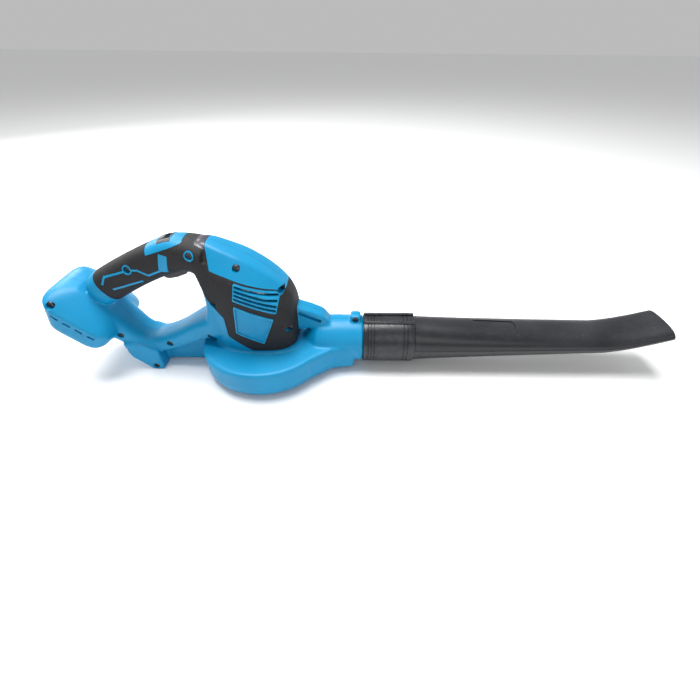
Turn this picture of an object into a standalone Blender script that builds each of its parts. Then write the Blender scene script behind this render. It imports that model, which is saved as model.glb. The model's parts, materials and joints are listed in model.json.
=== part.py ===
"""Cordless leaf blower without its battery pack, as separate pieces.

Metres, +Z up. The origin is on the floor under the fan's axis, +X points out of the nozzle, and the
housing parts in two at the plane Y = 0. The numbers below are millimetres: every mesh is made through
functions that multiply them by MM.
"""

import math

import bmesh
import bpy
from mathutils import Matrix, Vector
from mathutils.bvhtree import BVHTree

MM = 0.001

# ---------------------------------------------------------------- clearances and walls
GAP = 0.3  # between two pieces that touch
RUN_GAP = 0.15  # between a turning shaft and its bearing
PRESS_GAP = 0.06  # between two pieces pressed together
WALL = 2.4  # volute, duct and mount
BODY_WALL = 3.6  # motor housing and grip, overmould included
SKIN = 1.4  # soft overmould
REACH = 60.0  # a cutter that goes right through sideways
FAR = 1000.0  # past everything

# ---------------------------------------------------------------- fan, volute and duct
FIN_HALF_WIDTH = 9.0
HEEL_HALF_WIDTH = 22.0
STAND = 3.0  # underside of the volute above the floor
VOLUTE_HEIGHT = 30.0
FAN_RADIUS = 40.0
FAN_HEIGHT = 15.5
FAN_BLADES = 11
FAN_CLEARANCE = 3.0  # backplate to deck
FAN_HUB = 6.0
FAN_PLATE = 1.4
HUB_RECESS = 1.5  # hub behind the blades' edges
BLADE_ROOT = 12.0
BLADE_WALL = 1.3
BLADE_SWEEP = 34.0
NUT_HEIGHT = 2.6
NUT_RADIUS = 3.6
PAD_RADIUS = 5.0
PAD_PLACES = ((36.0, -36.0), (36.0, 24.0), (-36.0, -38.0))
SCROLL_START = 5.5  # fan tip to the inside of the tongue
SCROLL_GROWTH = 17.0
INLET_RADIUS = 27.0
GRILLE_LIP = 1.2
GRILLE_SEAT = 2.0
GRILLE_THICKNESS = 1.8
GRILLE_HUB = 6.5  # the hub stands on the floor under the fan
DUCT_RADIUS = 23.5
DUCT_END = 101.0
SPIGOT_LENGTH = 25.0
SPIGOT_RADIUS = 20.7
SHELF_Z = STAND + VOLUTE_HEIGHT
DUCT_Z = DUCT_RADIUS + 5.0
SCROLL_RADIUS = FAN_RADIUS + SCROLL_START + WALL
DECK_DROP = 0.2  # the deck reaches this far below the roof of the fan chamber

# ---------------------------------------------------------------- motor
CAN_RADIUS = 18.0
CAN_LENGTH = 57.0
CAN_WALL = 1.4
CAP_PLATE = 1.6
CAP_DEPTH = 3.0
SHAFT_RADIUS = 1.6
MOUNT_RING_HEIGHT = 2.6
CORE_LENGTH = 30.0
CORE_Z = 11.0  # above the foot of the can
CORE_SLOTS = 6
WINDING_LENGTH = 5.0
COMMUTATOR_RADIUS = 5.0
COMMUTATOR_LENGTH = 6.0
BEARING_RADIUS = 4.5
BEARING_LENGTH = 5.0
MAGNET_THICKNESS = 3.6
MAGNET_HALF_GAP = 5.0
AIR_GAP = 1.2  # armature to magnets
CORE_RADIUS = CAN_RADIUS - CAN_WALL - GAP - MAGNET_THICKNESS - AIR_GAP
WINDING_BULGE = CORE_RADIUS - 1.9
WINDING_END = CORE_RADIUS - 3.5
BRUSH_SIZE = 4.0
CAN_Z = SHELF_Z + MOUNT_RING_HEIGHT + 2 * GAP

# ---------------------------------------------------------------- grip, trigger and slider
GRIP_HALF_WIDTH = 16.0
GRIP_HALF_HEIGHT = 15.2
TRIGGER_X = -73.0
TRIGGER_Z = 119.8  # middle of the grip above the trigger
TRIGGER_TILT = 18.3
TRIGGER_HALF_LENGTH = 13.0
TRIGGER_HALF_WIDTH = 7.5
TRIGGER_PROUD = 3.8
TRIGGER_TRAVEL = 3.2
SWITCH_HALF_LENGTH = 11.5
SWITCH_HALF_WIDTH = 8.0
SWITCH_HEIGHT = 9.0
SWITCH_LOW = -0.5  # above the middle of the grip
SPRING_RADIUS = 3.2
SPRING_WIRE = 0.4
SPRING_TURNS = 5
SPRING_X = TRIGGER_X + 2.0
SEAT_Z = TRIGGER_Z - 5.6  # top of the trigger's spring seat
POCKET_Z = TRIGGER_Z + 3.6  # roof of the spring's pocket in the switch
FLANGE_LOW = -10.0  # from the middle of the grip
FLANGE_HEIGHT = 2.0
FLANGE_REACH = 2.5  # past the trigger's ends
SLIDER_REAR = 2.0
SLIDER_LENGTH = 5.0
SLIDER_TRAVEL = 5.0
SLIDER_HALF_WIDTH = 5.0
SLIDER_BASE = 3.0  # base past the ends of the knob
SLIDER_BASE_HEIGHT = 1.6
SLIDER_ROOF = GRIP_HALF_HEIGHT - BODY_WALL - 0.9

# ---------------------------------------------------------------- battery mount
MOUNT_REAR = (-187.5, 69.5)  # lowest rear edge, x and z
MOUNT_TILT = 45.0
MOUNT_HALF_WIDTH = 39.0
MOUNT_SKIRT = 19.0
CHANNEL_LENGTH = 44.0
CHANNEL_DEPTH = 12.0
CHANNEL_HALF_WIDTH = 31.0
RAIL_LIP = 4.5
RAIL_REACH = 5.0
TERMINAL_LENGTH = 12.0
TERMINAL_THICKNESS = 0.9
TERMINAL_PLAY = 0.1
TERMINAL_LOW = 6.0
TERMINAL_HIGH = 10.4
TERMINAL_ROOT = 19.6
TERMINAL_FACE = 13.0
TERMINAL_PLACES = {"terminal_positive": -9.0, "terminal_negative": 9.0, "terminal_sensor": 0.0}
BLOCK_LOW = (13.0, -13.0, 5.0)
BLOCK_HIGH = (34.0, 13.0, CHANNEL_DEPTH - GAP)
STEM_LOW = (17.5, -9.0, 10.0)
STEM_HIGH = (30.0, 9.0, CHANNEL_DEPTH + WALL + 2.0)

# ---------------------------------------------------------------- nozzle
CUFF_LENGTH = 51.5
CUFF_RADIUS = 24.6
NOZZLE_LENGTH = 250.0
NOZZLE_WALL = 1.8
NOZZLE_RADIUS = 23.4
MOUTH_HALF_WIDTH = 22.5
MOUTH_HALF_HEIGHT = 7.5
TUBE_RISE = 6.0  # of the straight part, over its whole length
MOUTH_RISE = 14.0
KICK_LENGTH = 62.0
NECK_RADIUS = 21.7
TUBE_STATIONS = 9
SEAL_X = 18.0  # from the end of the duct
SEAL_HALF = 0.65  # half the thickness of the ring
SEAL_DEPTH = 1.3
SEAL_PLAY = 0.1
LUG_X = 7.0
LUG_LENGTH = 3.0
STOP_X = 26.3  # the stop inside the cuff, from its rear end
STOP_THICKNESS = 2.0
LUG_HEIGHT = 1.3
LUG_ANGLE = 14.0
CUFF_TWIST = 30.0

# ---------------------------------------------------------------- screws
SCREW_RADIUS = 1.5
SCREW_HEAD_RADIUS = 2.9
SCREW_HEAD_HEIGHT = 2.0
SCREW_RECESS = 1.2  # head below the surface around it
BOSS_RADIUS = 3.8
SCREW_BITE = 9.0  # how far a screw goes past the parting plane
CABLE_RADIUS = 1.1
# name, x and z of each screw, all driven from the right
SCREWS = (
    ("mount_screw", -175.0, 87.0),
    ("grip_screw", -107.0, 112.0),
    ("handle_front_screw", -48.0, 127.0),
    ("strut_screw", -35.5, 84.0),
    ("motor_top_screw", -10.0, 117.0),
    ("motor_front_screw", 25.0, 93.5),
    ("duct_fairing_screw", 30.5, 58.0),
    ("bridge_rear_screw", -138.0, 43.0),
    ("bridge_middle_screw", -94.0, 31.0),
    ("bridge_front_screw", -48.0, 45.0),
    ("foot_screw", -114.5, 4.8),
    ("duct_end_screw", 93.0, 54.5),
)

# ---------------------------------------------------------------- outlines on the sides, x and z
VENT = [(-12.5, 108.0), (25.5, 94.0), (21.5, 77.0), (-15.5, 91.5)]
PLATE_INNER = 19.0  # vent and badge plates lie outside this
VENT_SLOTS = 4
VENT_SLOT_WIDTH = 2.6
BADGE = [(-15.5, 87.0), (19.0, 73.0), (7.0, 45.5), (-18.5, 57.0)]
# The overmould: grip, front strut and a band that runs round the badge and up the front
OVERMOULD = [
    (-148.0, 150.0),
    (-31.0, 150.0),
    (-31.0, 119.0),
    (-17.0, 113.0),
    (26.5, 97.5),
    (28.0, 108.0),
    (45.0, 108.0),
    (38.0, 38.0),
    (21.0, 36.5),
    (-6.0, 36.0),
    (-27.0, 51.0),
    (-27.5, 72.0),
    (-40.0, 86.0),
    (-62.0, 80.0),
    (-128.0, 76.0),
    (-148.0, 110.0),
]
SADDLE = [(-14.0, 7.0), (21.0, 7.0), (21.0, 40.0), (-14.0, 40.0)]  # along the grip and up

COLOURS = {
    "teal_plastic": ((0.0, 0.33, 0.62), 0.35, 0.0),
    "black_rubber": ((0.018, 0.018, 0.022), 0.75, 0.0),
    "grey_plastic": ((0.05, 0.055, 0.07), 0.4, 0.0),
    "dark_plastic": ((0.02, 0.02, 0.025), 0.45, 0.0),
    "steel": ((0.55, 0.56, 0.58), 0.35, 1.0),
    "copper": ((0.72, 0.33, 0.16), 0.35, 1.0),
    "brass": ((0.75, 0.58, 0.28), 0.3, 1.0),
    "carbon": ((0.06, 0.06, 0.06), 0.6, 0.0),
    "white_nylon": ((0.8, 0.8, 0.76), 0.5, 0.0),
    "board_green": ((0.02, 0.16, 0.07), 0.5, 0.0),
    "red_cable": ((0.6, 0.02, 0.02), 0.5, 0.0),
}

# EXACT leaves edges that three faces share where the housing's many forms nearly touch
SOLVER = "MANIFOLD"
SLIVER_VOLUME = 0.1
PARTS = None
CUTTERS = None


# ---------------------------------------------------------------- scene and materials
def clear_scene():
    for obj in list(bpy.data.objects):
        bpy.data.objects.remove(obj)


def new_collection(name):
    made = bpy.data.collections.new(name)
    bpy.context.scene.collection.children.link(made)
    return made


def material(name):
    found = bpy.data.materials.get(name)
    if found:
        return found
    colour, roughness, metallic = COLOURS[name]
    made = bpy.data.materials.new(name)
    made.use_nodes = True
    shader = made.node_tree.nodes["Principled BSDF"]
    shader.inputs["Base Color"].default_value = (*colour, 1.0)
    shader.inputs["Roughness"].default_value = roughness
    shader.inputs["Metallic"].default_value = metallic
    return made


# ---------------------------------------------------------------- mesh helpers
def object_from(bm, name):
    """A hidden object from a bmesh in millimetres."""
    bmesh.ops.recalc_face_normals(bm, faces=bm.faces)
    bmesh.ops.scale(bm, vec=(MM, MM, MM), verts=bm.verts)
    mesh = bpy.data.meshes.new(name)
    bm.to_mesh(mesh)
    bm.free()
    obj = bpy.data.objects.new(name, mesh)
    CUTTERS.objects.link(obj)
    obj.hide_render = True
    obj.display_type = "WIRE"
    return obj


def bake(obj):
    """Replaces an object's mesh by what its modifiers make of it."""
    bpy.context.view_layer.update()
    graph = bpy.context.evaluated_depsgraph_get()
    baked = bpy.data.meshes.new_from_object(obj.evaluated_get(graph))
    spent = obj.data
    obj.modifiers.clear()
    obj.data = baked
    bpy.data.meshes.remove(spent)


def combine(obj, other, operation, keep=False):
    """Boolean of two objects, kept in the first. The second is removed unless it is kept."""
    modifier = obj.modifiers.new(operation.title(), "BOOLEAN")
    modifier.operation = operation
    modifier.solver = SOLVER
    modifier.object = other
    bake(obj)
    if not keep:
        bpy.data.objects.remove(other)
    return obj


def cut(obj, other, keep=False):
    return combine(obj, other, "DIFFERENCE", keep)


def join(obj, *others):
    for other in others:
        combine(obj, other, "UNION")
    return obj


def common(obj, other, keep=False):
    return combine(obj, other, "INTERSECT", keep)


def copy_of(obj):
    made = obj.copy()
    made.data = obj.data.copy()
    CUTTERS.objects.link(made)
    return made


def islands(bm):
    """The faces of each connected surface."""
    left = set(bm.faces)
    while left:
        found = [left.pop()]
        for face in found:
            joined = {near for edge in face.edges for near in edge.link_faces} & left
            left -= joined
            found += joined
        yield found


def drop_slivers(obj):
    """Removes the empty slivers that a Boolean can leave where two surfaces almost meet."""
    bm = bmesh.new()
    bm.from_mesh(obj.data)
    bmesh.ops.triangulate(bm, faces=bm.faces)
    for faces in list(islands(bm)):
        corners = [[loop.vert.co for loop in face.loops] for face in faces]
        volume = sum(a.dot(b.cross(c)) for a, b, c in corners) / 6
        if abs(volume) < SLIVER_VOLUME * MM**3:
            bmesh.ops.delete(bm, geom=faces, context="FACES")
    bm.to_mesh(obj.data)
    bm.free()


def finish(obj, name, slot, origin=(0.0, 0.0, 0.0)):
    """Names a piece, gives it its material and puts its origin where it is carried."""
    drop_slivers(obj)
    offset = Vector(origin) * MM
    obj.data.transform(Matrix.Translation(-offset))
    obj.location = offset
    obj.name = name
    obj.data.name = name
    obj.data.materials.clear()
    obj.data.materials.append(material(slot))
    obj.data.shade_smooth()
    obj.data.set_sharp_from_angle(angle=math.radians(32))
    CUTTERS.objects.unlink(obj)
    PARTS.objects.link(obj)
    obj.hide_render = False
    obj.display_type = "TEXTURED"
    return obj


def mirrored_copy(obj):
    """The piece for the other side of the parting plane."""
    made = copy_of(obj)
    made.data.transform(Matrix.Scale(-1, 4, (0, 1, 0)))
    made.data.flip_normals()
    return made


def cylinder(start, end, radius, segments=24, far_radius=None):
    """A cylinder or cone between two points."""
    start, end = Vector(start), Vector(end)
    along = end - start
    turn = along.to_track_quat("Z", "Y").to_matrix().to_4x4()
    place = Matrix.Translation((start + end) / 2) @ turn
    bm = bmesh.new()
    bmesh.ops.create_cone(
        bm,
        cap_ends=True,
        segments=segments,
        radius1=radius,
        radius2=radius if far_radius is None else far_radius,
        depth=along.length,
        matrix=place,
    )
    return object_from(bm, "cylinder")


def tube(start, end, radius, bore, segments=24):
    start, end = Vector(start), Vector(end)
    over = (end - start).normalized()
    outer = cylinder(start, end, radius, segments)
    return cut(outer, cylinder(start - over, end + over, bore, segments))


def box(low, high, place=None):
    low, high = Vector(low), Vector(high)
    size = high - low
    fit = Matrix.Translation((low + high) / 2) @ Matrix.Diagonal((*size, 1.0))
    bm = bmesh.new()
    bmesh.ops.create_cube(bm, size=1.0, matrix=(place or Matrix()) @ fit)
    return object_from(bm, "box")


def prism(outline, low_y=-REACH, high_y=REACH):
    """A flat outline in X and Z, drawn out sideways."""
    bm = bmesh.new()
    face = bm.faces.new([bm.verts.new((x, low_y, z)) for x, z in outline])
    drawn = bmesh.ops.extrude_face_region(bm, geom=[face])
    moved = [item for item in drawn["geom"] if isinstance(item, bmesh.types.BMVert)]
    bmesh.ops.translate(bm, vec=(0, high_y - low_y, 0), verts=moved)
    return object_from(bm, "prism")


def loft(rings):
    """A closed solid through rings that have the same number of points."""
    bm = bmesh.new()
    rows = [[bm.verts.new(point) for point in ring] for ring in rings]
    count = len(rows[0])
    for near, far in zip(rows, rows[1:]):
        for i in range(count):
            j = (i + 1) % count
            bm.faces.new((near[i], near[j], far[j], far[i]))
    bm.faces.new(rows[0])
    bm.faces.new(rows[-1])
    return object_from(bm, "loft")


def turned(profile, segments=32, axis="Z", centre=(0.0, 0.0, 0.0)):
    """A profile of radius and height pairs, turned right round an axis."""
    bm = bmesh.new()
    verts = [bm.verts.new((radius, 0, height)) for radius, height in profile]
    edges = [bm.edges.new(pair) for pair in zip(verts, verts[1:] + verts[:1])]
    bmesh.ops.spin(
        bm,
        geom=verts + edges,
        cent=(0, 0, 0),
        axis=(0, 0, 1),
        angle=2 * math.pi,
        steps=segments,
        use_merge=True,
    )
    bmesh.ops.remove_doubles(bm, verts=bm.verts, dist=1e-4)
    turn = Matrix.Rotation(math.radians(90), 4, "Y") if axis == "X" else Matrix()
    bmesh.ops.transform(bm, matrix=Matrix.Translation(centre) @ turn, verts=bm.verts)
    return object_from(bm, "turned")


def powered(value, power):
    return math.copysign(abs(value) ** (2 / power), value)


def section(x, z, tilt, half_width, half_height, power=2.0, count=24):
    """A rounded section that stands across a path in the XZ plane. The tilt is in degrees."""
    lean = math.radians(tilt)
    points = []
    for i in range(count):
        angle = 2 * math.pi * (i + 0.5) / count
        y = half_width * powered(math.cos(angle), power)
        height = half_height * powered(math.sin(angle), power)
        points.append((x - height * math.sin(lean), y, z + height * math.cos(lean)))
    return points


def blended(a, b, share):
    return a + (b - a) * share


# ---------------------------------------------------------------- forms of the housing
# Each form takes an inset, so that walls, skins and recesses come from the same sizes.
def scroll_outline(inset):
    """The volute seen from above: a growing scroll, then straight sides that close in on the duct."""
    start, full, end, steps = 42, 222, 320, 22
    points = []
    for i in range(steps + 1):
        angle = blended(start, end, i / steps)
        growth = min(1.0, (angle - start) / (full - start))
        radius = SCROLL_RADIUS + SCROLL_GROWTH * growth - inset
        points.append((radius * math.cos(math.radians(angle)), radius * math.sin(math.radians(angle))))
    half = DUCT_RADIUS - inset
    points += [(70.0, -half - 3.0), (92.0, -half + 0.6), (92.0, half - 0.6), (66.0, half)]
    return points


def volute_form(inset):
    outline_at = ((9.0, STAND), (3.2, STAND + 2.2), (0.8, STAND + 6.5), (0.0, STAND + 12.0))
    rings = []
    for i, (inward, z) in enumerate(outline_at):
        rings.append((inward + inset, z + inset * (1.0 if i == 0 else 0.5)))
    rings += [(inset, SHELF_Z - 2.5 - inset), (1.2 + inset, SHELF_Z - inset)]
    return loft([[(x, y, z) for x, y in scroll_outline(inward)] for inward, z in rings])


def duct_form(inset, end=DUCT_END):
    stations = ((38.0, 0.45, -9.0), (50.0, 0.86, -3.0), (60.0, 1.0, 0.0), (end, 1.0, 0.0))
    rings = []
    for x, share, drop in stations:
        radius = DUCT_RADIUS * share - inset
        rings.append(section(x, DUCT_Z + drop, 0, radius, radius, count=28))
    return loft(rings)


def motor_form(inset):
    """The upright housing round the motor: x, half width and top, which meets the grip's height."""
    stations = (
        (-46.0, 17.0, 134.5),
        (-40.0, 22.0, 136.0),
        (-32.0, 27.5, 134.0),
        (-20.0, 31.5, 129.0),
        (-6.0, 33.5, 122.5),
        (8.0, 33.5, 113.5),
        (19.0, 32.0, 104.5),
        (28.0, 28.5, 95.0),
        (33.5, 23.0, 86.0),
        (36.0, 17.0, 77.0),
    )
    low = STAND + 6.0
    rings = []
    for i, (x, half_width, top) in enumerate(stations):
        at = x + inset if i == 0 else x - inset if i == len(stations) - 1 else x
        half_height = (top - low) / 2
        rings.append(section(at, low + half_height, 0, half_width - inset, half_height - inset, 3.2, 24))
    return loft(rings)


def grip_form(inset):
    stations = (
        (-151.0, 81.5, 35, -4.0, -4.0),
        (-146.5, 84.5, 33, 0.0, -0.4),
        (-137.0, 90.5, 29, 0.6, 0.3),
        (-110.0, 104.5, 25, 0.0, 0.0),
        (-82.0, 116.8, 22, 0.0, 0.0),
        (-62.0, 123.4, 14, 1.0, 0.6),
        (-40.0, 124.5, -6, 5.0, 0.0),
    )
    rings = []
    for x, z, tilt, wider, taller in stations:
        half_width = GRIP_HALF_WIDTH + wider - inset
        rings.append(section(x, z, tilt, half_width, GRIP_HALF_HEIGHT + taller - inset, 2.6, 20))
    return loft(rings)


def lofted(stations, inset, power):
    """A loft through stations of x, z, tilt, half width and half height."""
    return loft([section(x, z, tilt, w - inset, h - inset, power, 20) for x, z, tilt, w, h in stations])


def strut_form(inset):
    stations = (
        (-41.0, 121.0, -90, 21.0, 12.0),
        (-39.0, 102.0, -90, 22.0, 9.5),
        (-36.0, 84.0, -90, 24.0, 10.0),
        (-37.0, 64.0, -84, 26.0, 14.0),
        (-38.0, 48.0, -80, 26.0, 17.0),
    )
    return lofted(stations, inset, 3.0)


def bridge_form(inset):
    stations = (
        (-149.0, 58.0, -45, 22.0, 12.0),
        (-140.0, 44.0, -50, 20.0, 12.0),
        (-127.0, 31.0, -32, 18.0, 10.0),
        (-109.0, 27.5, 6, 17.0, 9.0),
        (-86.0, 35.0, 21, 18.0, 9.0),
        (-59.0, 46.5, 26, 21.0, 11.0),
        (-38.0, 54.0, 18, 26.0, 14.0),
    )
    return lofted(stations, inset, 3.4)


def mount_place():
    """Local axes of the battery mount: X down its slope, Z out of its top."""
    x, z = MOUNT_REAR
    return Matrix.Translation((x, 0, z)) @ Matrix.Rotation(math.radians(MOUNT_TILT), 4, "Y")


def mount_form(inset, low=0.0):
    """The skirt round the slide and the dome over it, stacked along the mount's own Z."""
    stations = (
        (low, 23.5, 24.0, -0.6),
        (low + 3.0, 23.5, 26.0, 0.0),
        (MOUNT_SKIRT, 21.0, 35.5, 0.0),
        (MOUNT_SKIRT + 6.0, 18.5, 32.5, -4.0),
        (MOUNT_SKIRT + 13.0, 17.0, 26.0, -13.0),
        (MOUNT_SKIRT + 20.0, 15.0, 16.0, -23.0),
    )
    place = mount_place()
    rings = []
    for height, middle, half_length, wider in stations:
        ring = []
        for i in range(24):
            angle = 2 * math.pi * (i + 0.5) / 24
            along = middle + (half_length - inset) * powered(math.cos(angle), 5.0)
            across = (MOUNT_HALF_WIDTH + wider - inset) * powered(math.sin(angle), 5.0)
            ring.append(place @ Vector((along, across, height - inset * (height > low))))
        rings.append(ring)
    return loft(rings)


def fin_form(inset):
    """The fairing from the motor housing down to the duct."""
    outline = ((28.0, 69.0), (36.0, 70.0), (48.0, 66.5), (61.0, 60.5))
    outline += ((67.0, 53.0), (68.5, 45.0), (28.0, 45.0))
    half = FIN_HALF_WIDTH - inset
    return prism(outline, -half, half)


def duct_boss_form():
    return box((88.0, -6.0, DUCT_Z + 12.0), (98.5, 6.0, DUCT_Z + DUCT_RADIUS + 6.5))


def heel_form(inset):
    """The block at the rear end of the web, which stands on the floor."""
    outline = [(-139.0, 36.0), (-136.0, 17.0), (-119.0, 0.0), (-107.0, 0.0), (-107.0, 26.0), (-120.0, 36.0)]
    half = HEEL_HALF_WIDTH - inset
    return prism(offset_outline(outline, inset), -half, half)


def web_form():
    """The plate under the bridge."""
    return prism(((-110.0, 24.0), (-110.0, 2.5), (-48.0, 2.5), (-48.0, 42.0), (-80.0, 28.0)), -7.0, 7.0)


def upper_form(inset):
    return join(motor_form(inset), strut_form(inset), grip_form(inset))


def feet_form():
    """The pads under the volute, which keep the inlet off the floor."""
    return [cylinder((x, y, 0.0), (x, y, STAND + 4.0), PAD_RADIUS, 12) for x, y in PAD_PLACES]


def body_form():
    pieces = [volute_form(0.0), duct_form(0.0), bridge_form(0.0), mount_form(0.0), fin_form(0.0)]
    pieces += [duct_boss_form(), heel_form(0.0), web_form(), *feet_form()]
    spigot_end = DUCT_END + SPIGOT_LENGTH
    spigot = cylinder((DUCT_END - 6.0, 0, DUCT_Z), (spigot_end, 0, DUCT_Z), SPIGOT_RADIUS, 32)
    return join(upper_form(0.0), *pieces, spigot)


def grip_local(along, height):
    """A point beside the trigger: along the grip, and up from its middle."""
    lean = math.radians(TRIGGER_TILT)
    x = TRIGGER_X + along * math.cos(lean) - height * math.sin(lean)
    z = TRIGGER_Z + along * math.sin(lean) + height * math.cos(lean)
    return (x, z)


def grip_place():
    turn = Matrix.Rotation(math.radians(-TRIGGER_TILT), 4, "Y")
    return Matrix.Translation((TRIGGER_X, 0, TRIGGER_Z)) @ turn


def offset_outline(points, distance):
    """A closed outline moved inwards by a distance, or outwards where it is negative."""
    area = sum(a[0] * b[1] - b[0] * a[1] for a, b in zip(points, points[1:] + points[:1]))
    side = 1 if area > 0 else -1
    moved = []
    for before, here, after in zip(points[-1:] + points[:-1], points, points[1:] + points[:1]):
        first = (Vector(here) - Vector(before)).normalized()
        second = (Vector(after) - Vector(here)).normalized()
        normal_a = Vector((-first.y, first.x)) * side
        normal_b = Vector((-second.y, second.x)) * side
        middle = (normal_a + normal_b) / (1 + normal_a.dot(normal_b))
        moved.append(tuple(Vector(here) + middle * distance))
    return moved


# ---------------------------------------------------------------- housing
def side_windows(outline, clearance):
    """The window that a side plate fits in, on both sides."""
    shape = offset_outline(outline, -clearance)
    inside = PLATE_INNER - 1.5
    return [prism(shape, -REACH, -inside), prism(shape, inside, REACH)]


def overmould_region(clearance):
    region = prism(offset_outline(OVERMOULD, -clearance))
    saddle = [grip_local(*point) for point in offset_outline(SADDLE, clearance)]
    return cut(region, prism(saddle))


def overmould_recess():
    layer = cut(upper_form(-2.0), upper_form(SKIN + GAP))
    layer = common(layer, overmould_region(GAP))
    for form in (mount_form(0.0), bridge_form(0.0), fin_form(0.0)):
        layer = cut(layer, form)
    return layer


def trigger_slot():
    """Through the underside of the grip, long enough in front for the trigger's upright travel."""
    rear = -TRIGGER_HALF_LENGTH - GAP
    front = TRIGGER_HALF_LENGTH + GAP + TRIGGER_TRAVEL * math.sin(math.radians(TRIGGER_TILT))
    half = TRIGGER_HALF_WIDTH + GAP
    low, high = -GRIP_HALF_HEIGHT - 2.0, -GRIP_HALF_HEIGHT + BODY_WALL + 3.0
    return box((rear, -half, low), (front, half, high), grip_place())


def flange_path():
    """The room that the trigger's flange needs between the grip's walls, over its travel."""
    reach = TRIGGER_HALF_LENGTH + FLANGE_REACH + GAP
    half = TRIGGER_HALF_WIDTH + GAP
    high = FLANGE_LOW + FLANGE_HEIGHT + TRIGGER_TRAVEL
    return box((-reach, -half, FLANGE_LOW), (reach, half, high), grip_place())


def slider_window():
    rear = SLIDER_REAR - GAP
    front = SLIDER_REAR + SLIDER_LENGTH + SLIDER_TRAVEL + GAP
    half = SLIDER_HALF_WIDTH + GAP
    low, high = GRIP_HALF_HEIGHT - BODY_WALL - 3.0, GRIP_HALF_HEIGHT + 8.0
    return box((rear, -half, low), (front, half, high), grip_place())


def slider_path():
    """The room that the slider's base needs under the roof of the grip."""
    rear = SLIDER_REAR - SLIDER_BASE - GAP
    front = SLIDER_REAR + SLIDER_LENGTH + SLIDER_BASE + SLIDER_TRAVEL + GAP
    half = SLIDER_HALF_WIDTH
    low = SLIDER_ROOF - SLIDER_BASE_HEIGHT - GAP
    return box((rear, -half, low), (front, half, SLIDER_ROOF + 1.0), grip_place())


def battery_channel():
    """Open to the rear, with a lip along each side that the pack's rails hook over."""
    place = mount_place()
    rear = -24.0
    half = CHANNEL_HALF_WIDTH
    wide = box((rear, -half, RAIL_LIP), (CHANNEL_LENGTH, half, CHANNEL_DEPTH), place)
    neck = half - RAIL_REACH
    return join(wide, box((rear, -neck, -8.0), (CHANNEL_LENGTH, neck, RAIL_LIP + 1.0), place))


def terminal_hole():
    clear = Vector((GAP, GAP, 0.0))
    high = Vector((STEM_HIGH[0], STEM_HIGH[1], MOUNT_SKIRT))
    return box(Vector(STEM_LOW) - clear - Vector((0, 0, 2.0)), high + clear, mount_place())


def skirt_slots():
    """Four blind slots along the top of each side of the skirt."""
    place = mount_place()
    slots = []
    for side in (-1, 1):
        outer, inner = side * (MOUNT_HALF_WIDTH + 1.0), side * (MOUNT_HALF_WIDTH - 1.2)
        for i in range(4):
            along = 1.0 + 10.5 * i
            low = (along, min(outer, inner), MOUNT_SKIRT - 6.0)
            slots.append(box(low, (along + 6.0, max(outer, inner), MOUNT_SKIRT - 4.2), place))
    return slots


def hanging_slot():
    """A blind slot in the right side of the fairing."""
    outline = [(38.0, 66.5), (60.0, 56.0), (58.5, 52.5), (37.0, 62.5)]
    return prism(outline, -REACH, -6.0)


def seal_groove():
    outer, floor = SPIGOT_RADIUS + 3.0, SPIGOT_RADIUS - SEAL_DEPTH
    half = SEAL_HALF + SEAL_PLAY
    x = DUCT_END + SEAL_X
    profile = [(outer, x + half), (outer, x - half), (floor, x - half), (floor, x + half)]
    return turned(profile, 32, "X", (0, 0, DUCT_Z))


def spigot_lugs():
    """Two lugs that hold the cuff once it is turned."""
    lugs = []
    half = SPIGOT_RADIUS * math.sin(math.radians(LUG_ANGLE / 2))
    low = DUCT_END + LUG_X
    high = low + LUG_LENGTH
    outer = SPIGOT_RADIUS + LUG_HEIGHT
    ring = tube((low, 0, DUCT_Z), (high, 0, DUCT_Z), outer, SPIGOT_RADIUS - 1.0, 32)
    for side in (-1, 1):
        near, far = sorted((side * SPIGOT_RADIUS / 2, side * SPIGOT_RADIUS * 1.5))
        block = box((low - 1, near, DUCT_Z - half), (high + 1, far, DUCT_Z + half))
        lugs.append(common(block, ring, True))
    bpy.data.objects.remove(ring)
    return lugs


def motor_ribs():
    """Two plates round the can."""
    ribs = []
    for height in (CAN_Z + 8.0, CAN_Z + CAN_LENGTH - 14.0):
        rib = box((-34.0, -REACH, height), (40.0, REACH, height + 2.4))
        bore = cylinder((0, 0, height - 1), (0, 0, height + 4), CAN_RADIUS + GAP, 32)
        ribs.append(cut(rib, bore))
    return ribs


def deck():
    """The roof of the fan chamber inside the motor housing, open round the shaft."""
    plate = box((-62.0, -REACH, SHELF_Z - WALL - DECK_DROP), (37.0, REACH, SHELF_Z))
    return cut(plate, cylinder((0, 0, 0), (0, 0, SHELF_Z + 5), 7.0, 24))


def switch_ribs():
    ribs = []
    for side in (-1, 1):
        near = SWITCH_HALF_LENGTH + GAP
        low, high = sorted((side * near, side * (near + 1.6)))
        half = SWITCH_HALF_WIDTH
        rib = box((low, -half, SWITCH_LOW), (high, half, GRIP_HALF_HEIGHT), grip_place())
        ribs.append(cut(rib, slider_path()))
    return ribs


def cavity_form():
    """All the hollows, with the ribs, the deck and the screw bosses left standing."""
    inside = upper_form(BODY_WALL)
    inside = join(inside, volute_form(WALL), duct_form(WALL, DUCT_END - 3.0), bridge_form(WALL))
    inside = join(inside, mount_form(WALL, CHANNEL_DEPTH + WALL), heel_form(WALL), cable_way())
    for form in [deck(), *motor_ribs(), *switch_ribs()]:
        inside = cut(inside, form)
    for _, x, z in SCREWS:
        inside = cut(inside, cylinder((x, -REACH, z), (x, REACH, z), BOSS_RADIUS, 10))
    bore = SPIGOT_RADIUS - WALL
    passage = cylinder((DUCT_END - 8.0, 0, DUCT_Z), (DUCT_END + SPIGOT_LENGTH + 4, 0, DUCT_Z), bore, 32)
    return join(inside, passage)


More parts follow.
